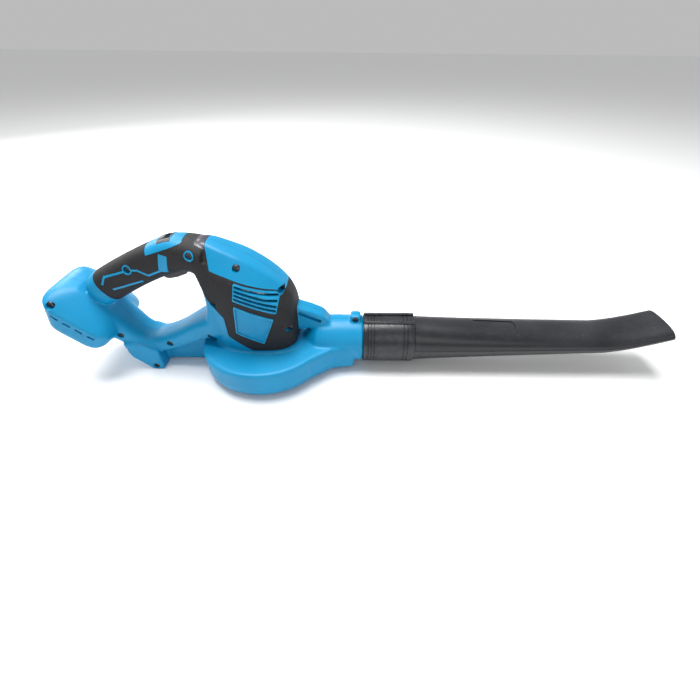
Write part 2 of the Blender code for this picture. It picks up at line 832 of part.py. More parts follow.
def cable_way():
    """The passage from the mount's dome into the grip."""
    return cylinder((-153.0, 0, 72.5), (-131.0, 0, 92.0), 8.5, 16)


def inlet_cutters():
    floor = STAND + WALL
    hole = cylinder((0, 0, -1), (0, 0, floor + 2), INLET_RADIUS, 32)
    seat = cylinder((0, 0, STAND + GRILLE_LIP), (0, 0, floor + 2), INLET_RADIUS + GRILLE_SEAT + GAP, 32)
    return [hole, seat]


def surface_finder(body):
    """Gives the right-hand surface of the body at a place seen from the side, in millimetres."""
    places = [vertex.co for vertex in body.data.vertices]
    tree = BVHTree.FromPolygons(places, [face.vertices for face in body.data.polygons])

    def surface(x, z):
        hit = tree.ray_cast(Vector((x, -2 * REACH, z)) * MM, Vector((0, 1, 0)))
        return hit[0].y / MM

    return surface


def screw_seats(surface):
    """Where each screw's head sits, worked out from the surface round it."""
    seats = {}
    for name, x, z in SCREWS:
        around = [(x + dx, z + dz) for dx in (-2, 0, 2) for dz in (-2, 0, 2)]
        outer = max(surface(*place) for place in around)
        seats[name] = (x, z, outer + SCREW_RECESS + SCREW_HEAD_HEIGHT)
    return seats


def screw_cutter(x, z, seat):
    head = cylinder((x, -2 * REACH, z), (x, seat, z), SCREW_HEAD_RADIUS + GAP, 12)
    return join(head, cylinder((x, seat - 1, z), (x, SCREW_BITE + 1, z), SCREW_RADIUS + GAP, 8))


def housing(seats):
    """Both halves of the housing, made as one and then parted."""
    body = cut(body_form(), overmould_recess())
    body = cut(body, cavity_form())
    cutters = [battery_channel(), terminal_hole(), *skirt_slots(), hanging_slot()]
    cutters += [trigger_slot(), flange_path(), slider_window(), seal_groove(), *inlet_cutters()]
    cutters += side_windows(VENT, 0.0) + side_windows(BADGE, 0.0)
    for cutter in cutters:
        body = cut(body, cutter)
    body = join(body, *spigot_lugs())
    for seat in seats.values():
        body = cut(body, screw_cutter(*seat))
    left = common(copy_of(body), box((-FAR, GAP / 2, -FAR), (FAR, FAR, FAR)))
    right = common(body, box((-FAR, -FAR, -FAR), (FAR, -GAP / 2, FAR)))
    finish(right, "housing_right", "teal_plastic")
    finish(left, "housing_left", "teal_plastic")


def overmoulds(seats):
    layer = cut(upper_form(0.0), upper_form(SKIN))
    layer = common(layer, overmould_region(0.0))
    for form in (mount_form(-GAP), bridge_form(-GAP), fin_form(-GAP), trigger_slot(), slider_window()):
        layer = cut(layer, form)
    for window in side_windows(VENT, 0.0) + side_windows(BADGE, 0.0):
        layer = cut(layer, window)
    left = common(copy_of(layer), box((-FAR, GAP / 2, -FAR), (FAR, FAR, FAR)))
    right = common(layer, box((-FAR, -FAR, -FAR), (FAR, -GAP / 2, FAR)))
    for seat in seats.values():
        right = cut(right, screw_cutter(*seat))
    finish(right, "overmould_right", "black_rubber")
    finish(left, "overmould_left", "black_rubber")


def side_plate(outline, outer, inner):
    """A plate that fills a window in the right side, flush with the form round it."""
    plate = cut(motor_form(outer), motor_form(inner))
    return common(plate, prism(offset_outline(outline, GAP), -REACH, -PLATE_INNER))


def vent_grilles():
    grille = side_plate(VENT, 0.2, 3.0)
    top_left, top_right, low_right, low_left = (Vector(p) for p in offset_outline(VENT, 2.6))
    for i in range(VENT_SLOTS):
        share = (i + 0.5) / VENT_SLOTS
        left, right = top_left.lerp(low_left, share), top_right.lerp(low_right, share)
        half = Vector((0, VENT_SLOT_WIDTH / 2))
        outline = [tuple(left + half), tuple(right + half), tuple(right - half), tuple(left - half)]
        grille = cut(grille, prism(outline, -REACH, 0.0))
    left_grille = mirrored_copy(grille)
    finish(grille, "vent_grille_right", "teal_plastic")
    finish(left_grille, "vent_grille_left", "teal_plastic")


def badge_panels():
    panel = side_plate(BADGE, -0.5, 2.6)
    left_panel = mirrored_copy(panel)
    finish(panel, "badge_panel_right", "teal_plastic")
    finish(left_panel, "badge_panel_left", "teal_plastic")


def screws(seats):
    for name, (x, z, seat) in seats.items():
        under = seat - GAP
        shank = cylinder((x, under - 0.5, z), (x, SCREW_BITE, z), SCREW_RADIUS, 8)
        head = cylinder((x, under - SCREW_HEAD_HEIGHT, z), (x, under, z), SCREW_HEAD_RADIUS, 12)
        drive = cylinder((x, under - SCREW_HEAD_HEIGHT - 1, z), (x, under - 0.8, z), 1.1, 6)
        finish(cut(join(head, shank), drive), name, "steel", (x, under, z))


# ---------------------------------------------------------------- inlet and fan
def inlet_grille():
    low = STAND + GRILLE_LIP + GAP
    high = low + GRILLE_THICKNESS
    outer = INLET_RADIUS + GRILLE_SEAT
    grille = tube((0, 0, low), (0, 0, high), outer, INLET_RADIUS - 1.5, 28)
    for radius in (19.5, 13.0):
        grille = join(grille, tube((0, 0, low), (0, 0, high), radius, radius - 1.6, 20))
    grille = join(grille, cylinder((0, 0, 0), (0, 0, high), GRILLE_HUB, 16))
    for i in range(4):
        turn = Matrix.Rotation(math.radians(45 * i + 22.5), 4, "Z")
        bar = box((-INLET_RADIUS, -1.1, low + 0.1), (INLET_RADIUS, 1.1, high - 0.1), turn)
        grille = join(grille, bar)
    finish(grille, "inlet_grille", "dark_plastic", (0, 0, low))


def fan_heights():
    top = SHELF_Z - WALL - DECK_DROP - FAN_CLEARANCE
    return top - FAN_HEIGHT, top


def fan():
    low, top = fan_heights()
    under = top - FAN_PLATE
    fan_body = cylinder((0, 0, under), (0, 0, top), FAN_RADIUS, 32)
    fan_body = join(fan_body, cylinder((0, 0, low + HUB_RECESS), (0, 0, under + 0.5), FAN_HUB, 24))
    for i in range(FAN_BLADES):
        blade = fan_blade(BLADE_ROOT, FAN_RADIUS - 0.6, low, under + 0.4)
        blade.data.transform(Matrix.Rotation(2 * math.pi * i / FAN_BLADES, 4, "Z"))
        fan_body = join(fan_body, blade)
    fan_body = cut(fan_body, cylinder((0, 0, low - 2), (0, 0, top + 2), SHAFT_RADIUS + PRESS_GAP, 24))
    finish(fan_body, "fan_impeller", "grey_plastic", (0, 0, low))


def fan_blade(root, tip, low, high):
    """A backward-curved blade, thin and upright."""
    steps = 3
    outer, inner = [], []
    for i in range(steps + 1):
        share = i / steps
        radius = blended(root, tip, share)
        angle = math.radians(-BLADE_SWEEP * share**1.3)
        centre = Vector((radius * math.cos(angle), radius * math.sin(angle)))
        across = Vector((-math.sin(angle), math.cos(angle))) * BLADE_WALL / 2
        outer.append(centre + across)
        inner.append(centre - across)
    outline = outer + inner[::-1]
    return loft([[(p.x, p.y, low) for p in outline], [(p.x, p.y, high) for p in outline]])


def fan_nut():
    low, _ = fan_heights()
    top = low + HUB_RECESS - GAP
    nut = cylinder((0, 0, top - NUT_HEIGHT), (0, 0, top), NUT_RADIUS, 6)
    nut = cut(nut, cylinder((0, 0, top - NUT_HEIGHT - 1), (0, 0, top + 1), SHAFT_RADIUS + PRESS_GAP, 24))
    finish(nut, "fan_nut", "steel", (0, 0, top))


# ---------------------------------------------------------------- motor
def motor_can():
    top = CAN_Z + CAN_LENGTH
    floor = CAN_Z + CAN_WALL
    inner = CAN_RADIUS - CAN_WALL
    hole = BEARING_RADIUS + PRESS_GAP
    profile = [(CAN_RADIUS, top), (CAN_RADIUS, CAN_Z), (hole, CAN_Z)]
    profile += [(hole, floor), (inner, floor), (inner, top)]
    finish(turned(profile, 32), "motor_can", "steel", (0, 0, CAN_Z))


def motor_end_cap():
    top = CAN_Z + CAN_LENGTH
    inner = CAN_RADIUS - CAN_WALL - GAP
    hole = BEARING_RADIUS + PRESS_GAP
    profile = [
        (CAN_RADIUS, top + GAP + CAP_PLATE),
        (CAN_RADIUS, top + GAP),
        (inner, top + GAP),
        (inner, top - CAP_DEPTH),
        (hole, top - CAP_DEPTH),
        (hole, top + GAP + CAP_PLATE),
    ]
    finish(turned(profile, 32), "motor_end_cap", "white_nylon", (0, 0, top))


def motor_mount_ring():
    low = SHELF_Z + GAP
    ring = tube((0, 0, low), (0, 0, low + MOUNT_RING_HEIGHT), CAN_RADIUS - 1.5, 9.0, 32)
    finish(ring, "motor_mount_ring", "black_rubber", (0, 0, low))


def bearings():
    for name, low in (("bearing_lower", CAN_Z - 0.6), ("bearing_upper", CAN_Z + CAN_LENGTH - 2.6)):
        high = low + BEARING_LENGTH
        bearing = tube((0, 0, low), (0, 0, high), BEARING_RADIUS, SHAFT_RADIUS + RUN_GAP, 24)
        finish(bearing, name, "brass", (0, 0, low))


def magnets():
    low, high = CAN_Z + 8.0, CAN_Z + 8.0 + CORE_LENGTH + 6.0
    outer = CAN_RADIUS - CAN_WALL - GAP
    ring = tube((0, 0, low), (0, 0, high), outer, outer - MAGNET_THICKNESS, 40)
    half = common(ring, box((-REACH, MAGNET_HALF_GAP, 0), (REACH, REACH, FAR)))
    other = mirrored_copy(half)
    finish(half, "magnet_left", "carbon")
    finish(other, "magnet_right", "carbon")


def rotor():
    low, _ = fan_heights()
    end = low - NUT_HEIGHT - 0.6
    top = CAN_Z + CAN_LENGTH + 3.6
    finish(cylinder((0, 0, end), (0, 0, top), SHAFT_RADIUS, 24), "motor_shaft", "steel", (0, 0, end))
    bore = SHAFT_RADIUS + PRESS_GAP
    core_low = CAN_Z + CORE_Z
    core = tube((0, 0, core_low), (0, 0, core_low + CORE_LENGTH), CORE_RADIUS, bore, 30)
    for i in range(CORE_SLOTS):
        turn = Matrix.Rotation(2 * math.pi * i / CORE_SLOTS, 4, "Z")
        foot, head = core_low - 1, core_low + CORE_LENGTH + 1
        slot = box((CORE_RADIUS - 3.0, -0.8, foot), (CORE_RADIUS + 2, 0.8, head), turn)
        core = cut(core, slot)
    finish(core, "armature_core", "steel", (0, 0, core_low))
    spans = (
        ("winding_lower", core_low - GAP / 2 - WINDING_LENGTH),
        ("winding_upper", core_low + CORE_LENGTH + GAP / 2),
    )
    for name, low_end in spans:
        high_end = low_end + WINDING_LENGTH
        middle = (low_end + high_end) / 2
        profile = [(WINDING_END, high_end), (WINDING_BULGE, middle), (WINDING_END, low_end)]
        profile += [(bore, low_end), (bore, high_end)]
        finish(turned(profile, 24), name, "copper", (0, 0, low_end))
    start = core_low + CORE_LENGTH + WINDING_LENGTH + GAP
    commutator = tube((0, 0, start), (0, 0, start + COMMUTATOR_LENGTH), COMMUTATOR_RADIUS, bore, 24)
    finish(commutator, "commutator", "copper", (0, 0, start))


def brushes():
    top = CAN_Z + CAN_LENGTH - CAP_DEPTH - GAP
    for name, side in (("brush_front", 1), ("brush_rear", -1)):
        near, far = COMMUTATOR_RADIUS + RUN_GAP, CAN_RADIUS - CAN_WALL - 3.0
        low, high = sorted((side * near, side * far))
        half = BRUSH_SIZE / 2
        finish(box((low, -half, top - BRUSH_SIZE), (high, half, top)), name, "carbon", (side * near, 0, top))


# ---------------------------------------------------------------- trigger, switch and slider
def trigger():
    length, under = TRIGGER_HALF_LENGTH, -GRIP_HALF_HEIGHT
    outline = [
        (-length, FLANGE_LOW + 1.0),
        (-length, under - 0.8),
        (-0.72 * length, under - 0.75 * TRIGGER_PROUD),
        (-0.1 * length, under - TRIGGER_PROUD),
        (0.6 * length, under - 0.9 * TRIGGER_PROUD),
        (length, under - 0.2 * TRIGGER_PROUD),
        (length, FLANGE_LOW + 1.0),
    ]
    half = TRIGGER_HALF_WIDTH
    lever = prism([grip_local(*point) for point in outline], -half, half)
    reach = length + FLANGE_REACH
    flange = box((-reach, -half, FLANGE_LOW), (reach, half, FLANGE_LOW + FLANGE_HEIGHT), grip_place())
    seat = box((SPRING_X - 3.6, -3.6, SEAT_Z - 4.5), (SPRING_X + 3.6, 3.6, SEAT_Z))
    plunger = cylinder((SPRING_X, 0, SEAT_Z - 1), (SPRING_X, 0, SEAT_Z + 4.4), 1.3, 12)
    finish(join(lever, flange, seat, plunger), "trigger", "dark_plastic", (SPRING_X, 0, SEAT_Z))


def trigger_spring():
    """Closed coils from the trigger's seat up into the switch."""
    steps = 10
    low, high = SEAT_Z + SPRING_WIRE + 0.2, POCKET_Z - SPRING_WIRE - 0.2
    total = steps * SPRING_TURNS
    points = []
    for i in range(total + 1):
        angle = 2 * math.pi * i / steps
        height = blended(low, high, i / total)
        points.append((SPRING_X + SPRING_RADIUS * math.cos(angle), SPRING_RADIUS * math.sin(angle), height))
    wire_piece("trigger_spring", "steel", points, SPRING_WIRE, 1)


def switch_body():
    low = (-SWITCH_HALF_LENGTH, -SWITCH_HALF_WIDTH + 0.5, SWITCH_LOW)
    high = (SWITCH_HALF_LENGTH, SWITCH_HALF_WIDTH - 0.5, SWITCH_LOW + SWITCH_HEIGHT)
    body = box(low, high, grip_place())
    bore = SPRING_RADIUS + SPRING_WIRE + 0.6
    body = cut(body, cylinder((SPRING_X, 0, SEAT_Z), (SPRING_X, 0, POCKET_Z), bore, 20))
    finish(body, "switch_body", "dark_plastic", (TRIGGER_X, 0, TRIGGER_Z))


def slider():
    rear, front = SLIDER_REAR, SLIDER_REAR + SLIDER_LENGTH
    half = SLIDER_HALF_WIDTH - GAP
    low = (rear - SLIDER_BASE, -half, SLIDER_ROOF - SLIDER_BASE_HEIGHT)
    base = box(low, (front + SLIDER_BASE, half, SLIDER_ROOF), grip_place())
    knob_low = (rear, -half, SLIDER_ROOF - 1.0)
    knob_high = (front, half, GRIP_HALF_HEIGHT + 1.0)
    x, z = grip_local(rear, SLIDER_ROOF)
    finish(join(base, box(knob_low, knob_high, grip_place())), "speed_slider", "grey_plastic", (x, 0, z))


def control_board():
    front = -SWITCH_HALF_LENGTH - 2 * GAP - 1.6
    board = box((front - 16.0, -9.0, -1.0), (front, 9.0, 0.6), grip_place())
    x, z = grip_local(front, 0.0)
    finish(board, "control_board", "board_green", (x, 0, z))


# ---------------------------------------------------------------- battery terminals and cables
def terminal_block():
    place = mount_place()
    block = join(box(BLOCK_LOW, BLOCK_HIGH, place), box(STEM_LOW, STEM_HIGH, place))
    half = TERMINAL_THICKNESS / 2 + TERMINAL_PLAY
    for y in TERMINAL_PLACES.values():
        low = (BLOCK_LOW[0] - 3.0, y - half, TERMINAL_LOW - TERMINAL_PLAY)
        block = cut(block, box(low, (TERMINAL_ROOT + 0.4, y + half, TERMINAL_HIGH + TERMINAL_PLAY), place))
    x, _, z = place @ Vector((BLOCK_LOW[0], 0, CHANNEL_DEPTH))
    finish(block, "terminal_block", "dark_plastic", (x, 0, z))


def terminals():
    place = mount_place()
    for name, y in TERMINAL_PLACES.items():
        length = TERMINAL_LENGTH if y else TERMINAL_LENGTH - 3.0
        low = (TERMINAL_FACE - length, y - TERMINAL_THICKNESS / 2, TERMINAL_LOW)
        blade = box(low, (TERMINAL_ROOT, y + TERMINAL_THICKNESS / 2, TERMINAL_HIGH), place)
        x, _, z = place @ Vector((TERMINAL_ROOT, 0, TERMINAL_LOW))
        finish(blade, name, "brass", (x, y, z))


def wire_piece(name, slot, points, radius, resolution=2):
    """A round wire through points in millimetres, as a solid in its own node."""
    curve = bpy.data.curves.new(name, "CURVE")
    curve.dimensions = "3D"
    curve.bevel_depth = radius * MM
    curve.bevel_resolution = resolution
    curve.use_fill_caps = True
    spline = curve.splines.new("POLY")
    spline.points.add(len(points) - 1)
    for target, point in zip(spline.points, points):
        target.co = (*(Vector(point) * MM), 1.0)
    curve.materials.append(material(slot))
    obj = bpy.data.objects.new(name, curve)
    PARTS.objects.link(obj)


def smooth_route(points, steps):
    """Points along a smooth curve through the route's own points."""
    stops = [Vector(p) for p in points]
    padded = [stops[0] * 2 - stops[1], *stops, stops[-1] * 2 - stops[-2]]
    route = []
    for a, b, c, d in zip(padded, padded[1:], padded[2:], padded[3:]):
        for i in range(steps):
            t = i / steps
            bend = (2 * a - 5 * b + 4 * c - d) * t**2 + (3 * b - a - 3 * c + d) * t**3
            route.append(b + (c - a) * t / 2 + bend / 2)
    return [*route, stops[-1]]


def cables():
    """Two leads from the terminals to the board, and two from there to the motor."""
    block_x, _, block_z = mount_place() @ Vector((24.0, 0, STEM_HIGH[2] + GAP + 0.4))
    board_x, board_z = grip_local(-SWITCH_HALF_LENGTH - 12.0, -1.0 - GAP - 0.4)
    motor_top = CAN_Z + CAN_LENGTH + GAP + CAP_PLATE
    for name, slot, side in (("positive", "red_cable", -1), ("negative", "black_rubber", 1)):
        lead = [
            (block_x, side * 5.0, block_z),
            (block_x + 5.0, side * 5.0, block_z + 5.5),
            (-140.0, side * 5.5, 84.0),
            (-122.0, side * 5.5, 92.5),
            (-104.0, side * 5.5, 99.0),
            (board_x - 3.0, side * 5.5, board_z - 6.0),
            (board_x, side * 5.5, board_z),
        ]
        wire_piece("battery_lead_" + name, slot, smooth_route(lead, 2), CABLE_RADIUS)
        run = [
            (-84.0, side * 10.2, 115.6),
            (-71.0, side * 10.2, 120.4),
            (-57.0, side * 10.2, 121.5),
            (-47.0, side * 10.0, 117.0),
            (-32.0, side * 9.0, 111.0),
            (-14.0, side * 8.0, 105.0),
            (-9.0, side * 8.0, motor_top + 4.0),
            (-9.0, side * 8.0, motor_top + GAP + 0.2),
        ]
        wire_piece("motor_lead_" + name, slot, smooth_route(run, 2), CABLE_RADIUS)


# ---------------------------------------------------------------- nozzle
def seal_ring():
    x = DUCT_END + SEAL_X
    major = SPIGOT_RADIUS - SEAL_DEPTH + SEAL_PLAY + SEAL_HALF
    sides = 6
    profile = []
    for i in range(sides):
        angle = 2 * math.pi * i / sides
        profile.append((major + SEAL_HALF * math.cos(angle), x - SEAL_HALF * math.sin(angle)))
    finish(turned(profile, 32, "X", (0, 0, DUCT_Z)), "seal_ring", "black_rubber", (x, 0, DUCT_Z))


def nozzle_cuff():
    start = DUCT_END + GAP
    end = start + CUFF_LENGTH
    bore = SPIGOT_RADIUS + GAP
    stop = start + STOP_X
    socket = NECK_RADIUS + GAP
    lip = SPIGOT_RADIUS - WALL
    profile = [
        (CUFF_RADIUS, end),
        (CUFF_RADIUS, start),
        (bore, start),
        (bore, stop),
        (lip, stop),
        (lip, stop + STOP_THICKNESS),
        (socket, stop + STOP_THICKNESS),
        (socket, end),
    ]
    cuff = turned(profile, 32, "X", (0, 0, DUCT_Z))
    root, crest = DUCT_Z + CUFF_RADIUS - 2.4, DUCT_Z + CUFF_RADIUS + 1.0
    for low, high in ((-8.5, -5.5), (5.5, 8.5)):
        cuff = join(cuff, box((start + 0.5, low, root), (end - 0.5, high, crest)))
    groove_x = DUCT_END + LUG_X
    reach = SPIGOT_RADIUS + LUG_HEIGHT + GAP
    ring = tube((groove_x - GAP, 0, DUCT_Z), (groove_x + LUG_LENGTH + GAP, 0, DUCT_Z), reach, bore - 2.0, 32)
    cuff = cut(cuff, ring)
    half = SPIGOT_RADIUS * math.sin(math.radians(LUG_ANGLE / 2)) + 2 * GAP
    disc = cylinder((start - 1, 0, DUCT_Z), (groove_x + 1, 0, DUCT_Z), reach, 32)
    centre = Matrix.Translation((0, 0, DUCT_Z)) @ Matrix.Rotation(math.radians(-CUFF_TWIST), 4, "X")
    entry = common(box((start - 1, -30, -half), (groove_x + 1, 30, half), centre), disc)
    cuff = cut(cuff, entry)
    finish(cuff, "nozzle_cuff", "dark_plastic", (start, 0, DUCT_Z))


def tube_form(inset, over=0.0):
    """Neck, shoulder and a body that flattens and turns up to the mouth."""
    neck = DUCT_END + GAP + STOP_X + STOP_THICKNESS + GAP
    shoulder = DUCT_END + GAP + CUFF_LENGTH + GAP
    rings = [section(neck - over, DUCT_Z, 0, NECK_RADIUS - inset, NECK_RADIUS - inset, 2.0, 32)]
    rings.append(section(shoulder, DUCT_Z, 0, NECK_RADIUS - inset, NECK_RADIUS - inset, 2.0, 32))
    for i in range(TUBE_STATIONS + 1):
        share = i / TUBE_STATIONS
        along = share * NOZZLE_LENGTH
        kick = max(0.0, along - (NOZZLE_LENGTH - KICK_LENGTH)) / KICK_LENGTH
        half_width = blended(NOZZLE_RADIUS, MOUTH_HALF_WIDTH, share) - inset
        half_height = blended(NOZZLE_RADIUS - 0.6, MOUTH_HALF_HEIGHT, share**0.8) - inset
        if i == 0 and inset:
            continue
        x = shoulder + along + (over if i == TUBE_STATIONS else 0.0)
        z = DUCT_Z + TUBE_RISE * share + MOUTH_RISE * kick**1.5
        rings.append(section(x, z, 16.0 * kick, half_width, half_height, 2.0 + 0.5 * share, 32))
    return loft(rings)


def nozzle_tube():
    tube_body = cut(tube_form(0.0), tube_form(NOZZLE_WALL, 1.0))
    start = DUCT_END + GAP + CUFF_LENGTH + GAP
    finish(tube_body, "nozzle_tube", "dark_plastic", (start, 0, DUCT_Z))


# ---------------------------------------------------------------- assembly
def build():
    global PARTS, CUTTERS
    clear_scene()
    PARTS = new_collection("leaf_blower")
    CUTTERS = new_collection("cutters")
    outer = body_form()
    seats = screw_seats(surface_finder(outer))
    bpy.data.objects.remove(outer)
    housing(seats)
    overmoulds(seats)
    vent_grilles()
    badge_panels()
    screws(seats)
    inlet_grille()
    fan()
    fan_nut()
    motor_can()
    motor_end_cap()
    motor_mount_ring()
    bearings()
    magnets()
    rotor()
    brushes()
    trigger()
    trigger_spring()
    switch_body()
    slider()
    control_board()
    terminal_block()
    terminals()
    cables()
    seal_ring()
    nozzle_cuff()
    nozzle_tube()


build()
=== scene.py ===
"""Looks of the cordless leaf blower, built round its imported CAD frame.

The frame is in metres, with +Z up, +X out of the nozzle and the housing parted at Y = 0. Sizes below
are millimetres: shapes are made in millimetres and scaled by MM as they become objects.
"""

import json
import math

import bmesh
import bpy
from mathutils import Matrix, Vector

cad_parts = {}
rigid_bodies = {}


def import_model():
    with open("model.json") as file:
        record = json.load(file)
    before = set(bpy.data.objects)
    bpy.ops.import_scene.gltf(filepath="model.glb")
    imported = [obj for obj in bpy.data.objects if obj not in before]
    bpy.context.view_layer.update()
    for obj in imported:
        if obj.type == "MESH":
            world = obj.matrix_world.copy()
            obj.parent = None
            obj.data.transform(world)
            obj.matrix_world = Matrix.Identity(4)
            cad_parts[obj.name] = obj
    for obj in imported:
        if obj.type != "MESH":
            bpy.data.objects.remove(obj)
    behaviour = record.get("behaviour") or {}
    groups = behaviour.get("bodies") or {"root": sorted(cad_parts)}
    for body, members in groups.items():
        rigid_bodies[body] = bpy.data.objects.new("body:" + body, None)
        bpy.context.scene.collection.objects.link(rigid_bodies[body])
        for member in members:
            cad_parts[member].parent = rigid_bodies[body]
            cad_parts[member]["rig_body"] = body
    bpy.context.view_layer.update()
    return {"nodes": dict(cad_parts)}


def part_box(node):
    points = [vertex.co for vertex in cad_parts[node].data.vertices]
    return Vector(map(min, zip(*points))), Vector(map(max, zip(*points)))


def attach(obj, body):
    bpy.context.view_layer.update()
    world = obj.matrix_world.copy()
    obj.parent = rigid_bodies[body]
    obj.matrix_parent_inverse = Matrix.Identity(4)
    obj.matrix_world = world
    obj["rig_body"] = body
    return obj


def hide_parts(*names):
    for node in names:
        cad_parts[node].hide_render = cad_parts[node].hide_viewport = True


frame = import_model()
NODES = frame["nodes"]
MM = 0.001

# ---------------------------------------------------------------- moulding
GAP = 0.3  # between two pieces that touch
PARTING = 0.12  # from each half to the parting plane
BODY_VOXEL = 1.15
BODY_ROUNDS = 9  # smoothing passes that give the moulded fillets
WALL = 2.4
BODY_WALL = 3.6
SKIN = 1.4
REACH = 60.0
FAR = 1000.0
RING_POINTS = 64
CUTTER_POINTS = 36

# ---------------------------------------------------------------- fan, volute and duct
STAND = 3.0
SHELF_Z = 33.0
SHELF_ROUNDING = ((0.0, 3.2), (0.4, 1.2), (1.8, 0.0))  # inward and down, round the shelf's rim
SCROLL_RADIUS = 47.9
SCROLL_GROWTH = 17.0
INLET_RADIUS = 27.0
GRILLE_LIP = 1.2
GRILLE_SEAT = 2.0
DUCT_RADIUS = 23.5
DUCT_Z = 28.5
DUCT_END = 101.0
SPIGOT_RADIUS = 20.7
SPIGOT_END = 126.0
SEAL_X = 119.0
SEAL_DEPTH = 1.3
SEAL_HALF = 0.75
LUG_START = 108.0
LUG_END = 111.0
LUG_HEIGHT = 1.3
LUG_ANGLE = 14.0
PAD_PLACES = ((36.0, -36.0), (36.0, 24.0), (-36.0, -38.0))
CAN_RADIUS = 18.0
CAN_Z = 36.2
CAN_LENGTH = 57.0
DECK_REAR, DECK_FRONT = -62.0, 37.0  # the deck between the fan and the motor
DECK_BORE = 7.0
RIB_REAR, RIB_FRONT = -34.0, 40.0  # the ribs that hold the motor
RIB_THICKNESS = 2.4
LEAD_WAY = ((-153.0, 0.0, 72.5), (-131.0, 0.0, 92.0))  # from the mount into the grip
LEAD_WAY_RADIUS = 8.5

# ---------------------------------------------------------------- forms: stations of the housing
# x, z, tilt, half width, half height
GRIP = (
    (-151.0, 81.5, 35, 12.0, 11.2),
    (-146.5, 84.5, 33, 16.0, 14.8),
    (-137.0, 90.5, 29, 16.6, 15.5),
    (-110.0, 104.5, 25, 16.0, 15.2),
    (-82.0, 116.8, 22, 16.0, 15.2),
    (-62.0, 122.6, 12, 17.0, 15.6),
    (-40.0, 119.0, -14, 21.0, 15.0),
)
STRUT = (
    (-41.0, 121.0, -90, 21.0, 12.0),
    (-39.0, 102.0, -90, 22.0, 9.5),
    (-36.0, 84.0, -90, 24.0, 10.0),
    (-37.0, 64.0, -84, 26.0, 14.0),
    (-38.0, 48.0, -80, 26.0, 17.0),
)
BRIDGE = (
    (-149.0, 58.0, -45, 22.0, 12.0),
    (-140.0, 44.0, -50, 20.0, 12.0),
    (-127.0, 31.0, -32, 18.0, 10.0),
    (-109.0, 26.0, 6, 17.0, 9.0),
    (-86.0, 33.2, 21, 18.0, 9.0),
    (-59.0, 46.5, 26, 21.0, 11.0),
    (-38.0, 54.0, 18, 26.0, 14.0),
)
# x, half width, rise above the shelf
MOTOR = (
    (-46.0, 17.0, 101.5),
    (-40.0, 22.0, 103.0),
    (-32.0, 27.5, 101.0),
    (-20.0, 31.5, 96.0),
    (-6.0, 33.5, 89.5),
    (8.0, 33.5, 80.5),
    (19.0, 32.0, 71.5),
    (28.0, 28.5, 62.0),
    (33.5, 23.0, 53.0),
    (36.0, 17.0, 44.0),
)
MOTOR_LOW = 9.0
SHOULDER_SIDE = 0.55  # how the sloping shoulder leans: shares of half width and half height
SHOULDER_TOP = 0.83
SHOULDER_REACH = 1.045
# height on the mount's own axis, middle, half length, half width
MOUNT_SKIRT = 19.0
MOUNT_FOOT = ((0.0, 23.5, 24.0, 38.4), (3.0, 23.5, 26.0, 39.0))
MOUNT_DOME = (
    (MOUNT_SKIRT, 18.5, 33.0, 38.2),
    (MOUNT_SKIRT + 4.5, 17.5, 30.0, 32.0),
    (MOUNT_SKIRT + 9.5, 16.5, 24.0, 23.5),
    (MOUNT_SKIRT + 14.0, 16.0, 14.0, 14.0),
)
MOUNT_REAR = (-187.5, 69.5)
MOUNT_TILT = 45.0
MOUNT_HALF_WIDTH = 39.0
SKIRT_SLOTS = 4
SKIRT_SLOT_PITCH = 10.5
SKIRT_SLOT_LENGTH = 6.4
SKIRT_SLOT_DEPTH = 2.4
CHANNEL_LENGTH = 44.0
CHANNEL_DEPTH = 12.0
CHANNEL_HALF_WIDTH = 31.0
RAIL_LIP = 4.5
RAIL_REACH = 5.0
STEM_LOW = (17.5, -9.0, 10.0)
STEM_HIGH = (30.0, 9.0, 19.0)
# x, share of the radius, drop of the middle
DUCT = ((38.0, 0.45, -9.0), (50.0, 0.86, -3.0), (60.0, 1.0, 0.0), (101.0, 1.0, 0.0))
FIN = ((28.0, 69.0), (36.0, 70.0), (48.0, 66.5), (61.0, 60.5), (67.0, 53.0), (68.5, 45.0), (28.0, 45.0))
FIN_HALF_WIDTH = 9.0
HANGING_SLOT = [(38.0, 66.5), (60.0, 56.0), (58.5, 52.5), (37.0, 62.5)]
HEEL = ((-139.0, 34.0), (-136.0, 17.0), (-119.0, 0.0), (-107.0, 0.0), (-107.0, 24.0), (-120.0, 31.0))
HEEL_HALF_WIDTH = 22.0
WEB = ((-110.0, 24.0), (-110.0, 2.5), (-48.0, 2.5), (-48.0, 42.0), (-80.0, 28.0))
WEB_HALF_WIDTH = 7.0

# ---------------------------------------------------------------- grip, trigger and slider
GRIP_HALF_HEIGHT = 15.2
TRIGGER_X = -73.0
TRIGGER_Z = 119.8
TRIGGER_TILT = 18.3
TRIGGER_HALF_LENGTH = 13.0
TRIGGER_HALF_WIDTH = 7.5
TRIGGER_TRAVEL = 3.2
SWITCH_HALF_LENGTH = 11.5
SWITCH_HALF_WIDTH = 8.0
SWITCH_LOW = -0.5
SLIDER_REAR = 2.0
SLIDER_LENGTH = 5.0
SLIDER_TRAVEL = 5.0
SLIDER_HALF_WIDTH = 5.0
SLIDER_BASE = 3.0
SLIDER_BASE_HEIGHT = 1.6
SLIDER_ROOF = GRIP_HALF_HEIGHT - BODY_WALL - 0.9
BEZEL_REAR = 1.0
BEZEL_FRONT = 11.2
BEZEL_HALF_WIDTH = 9.5
BEZEL_DEPTH = 0.8

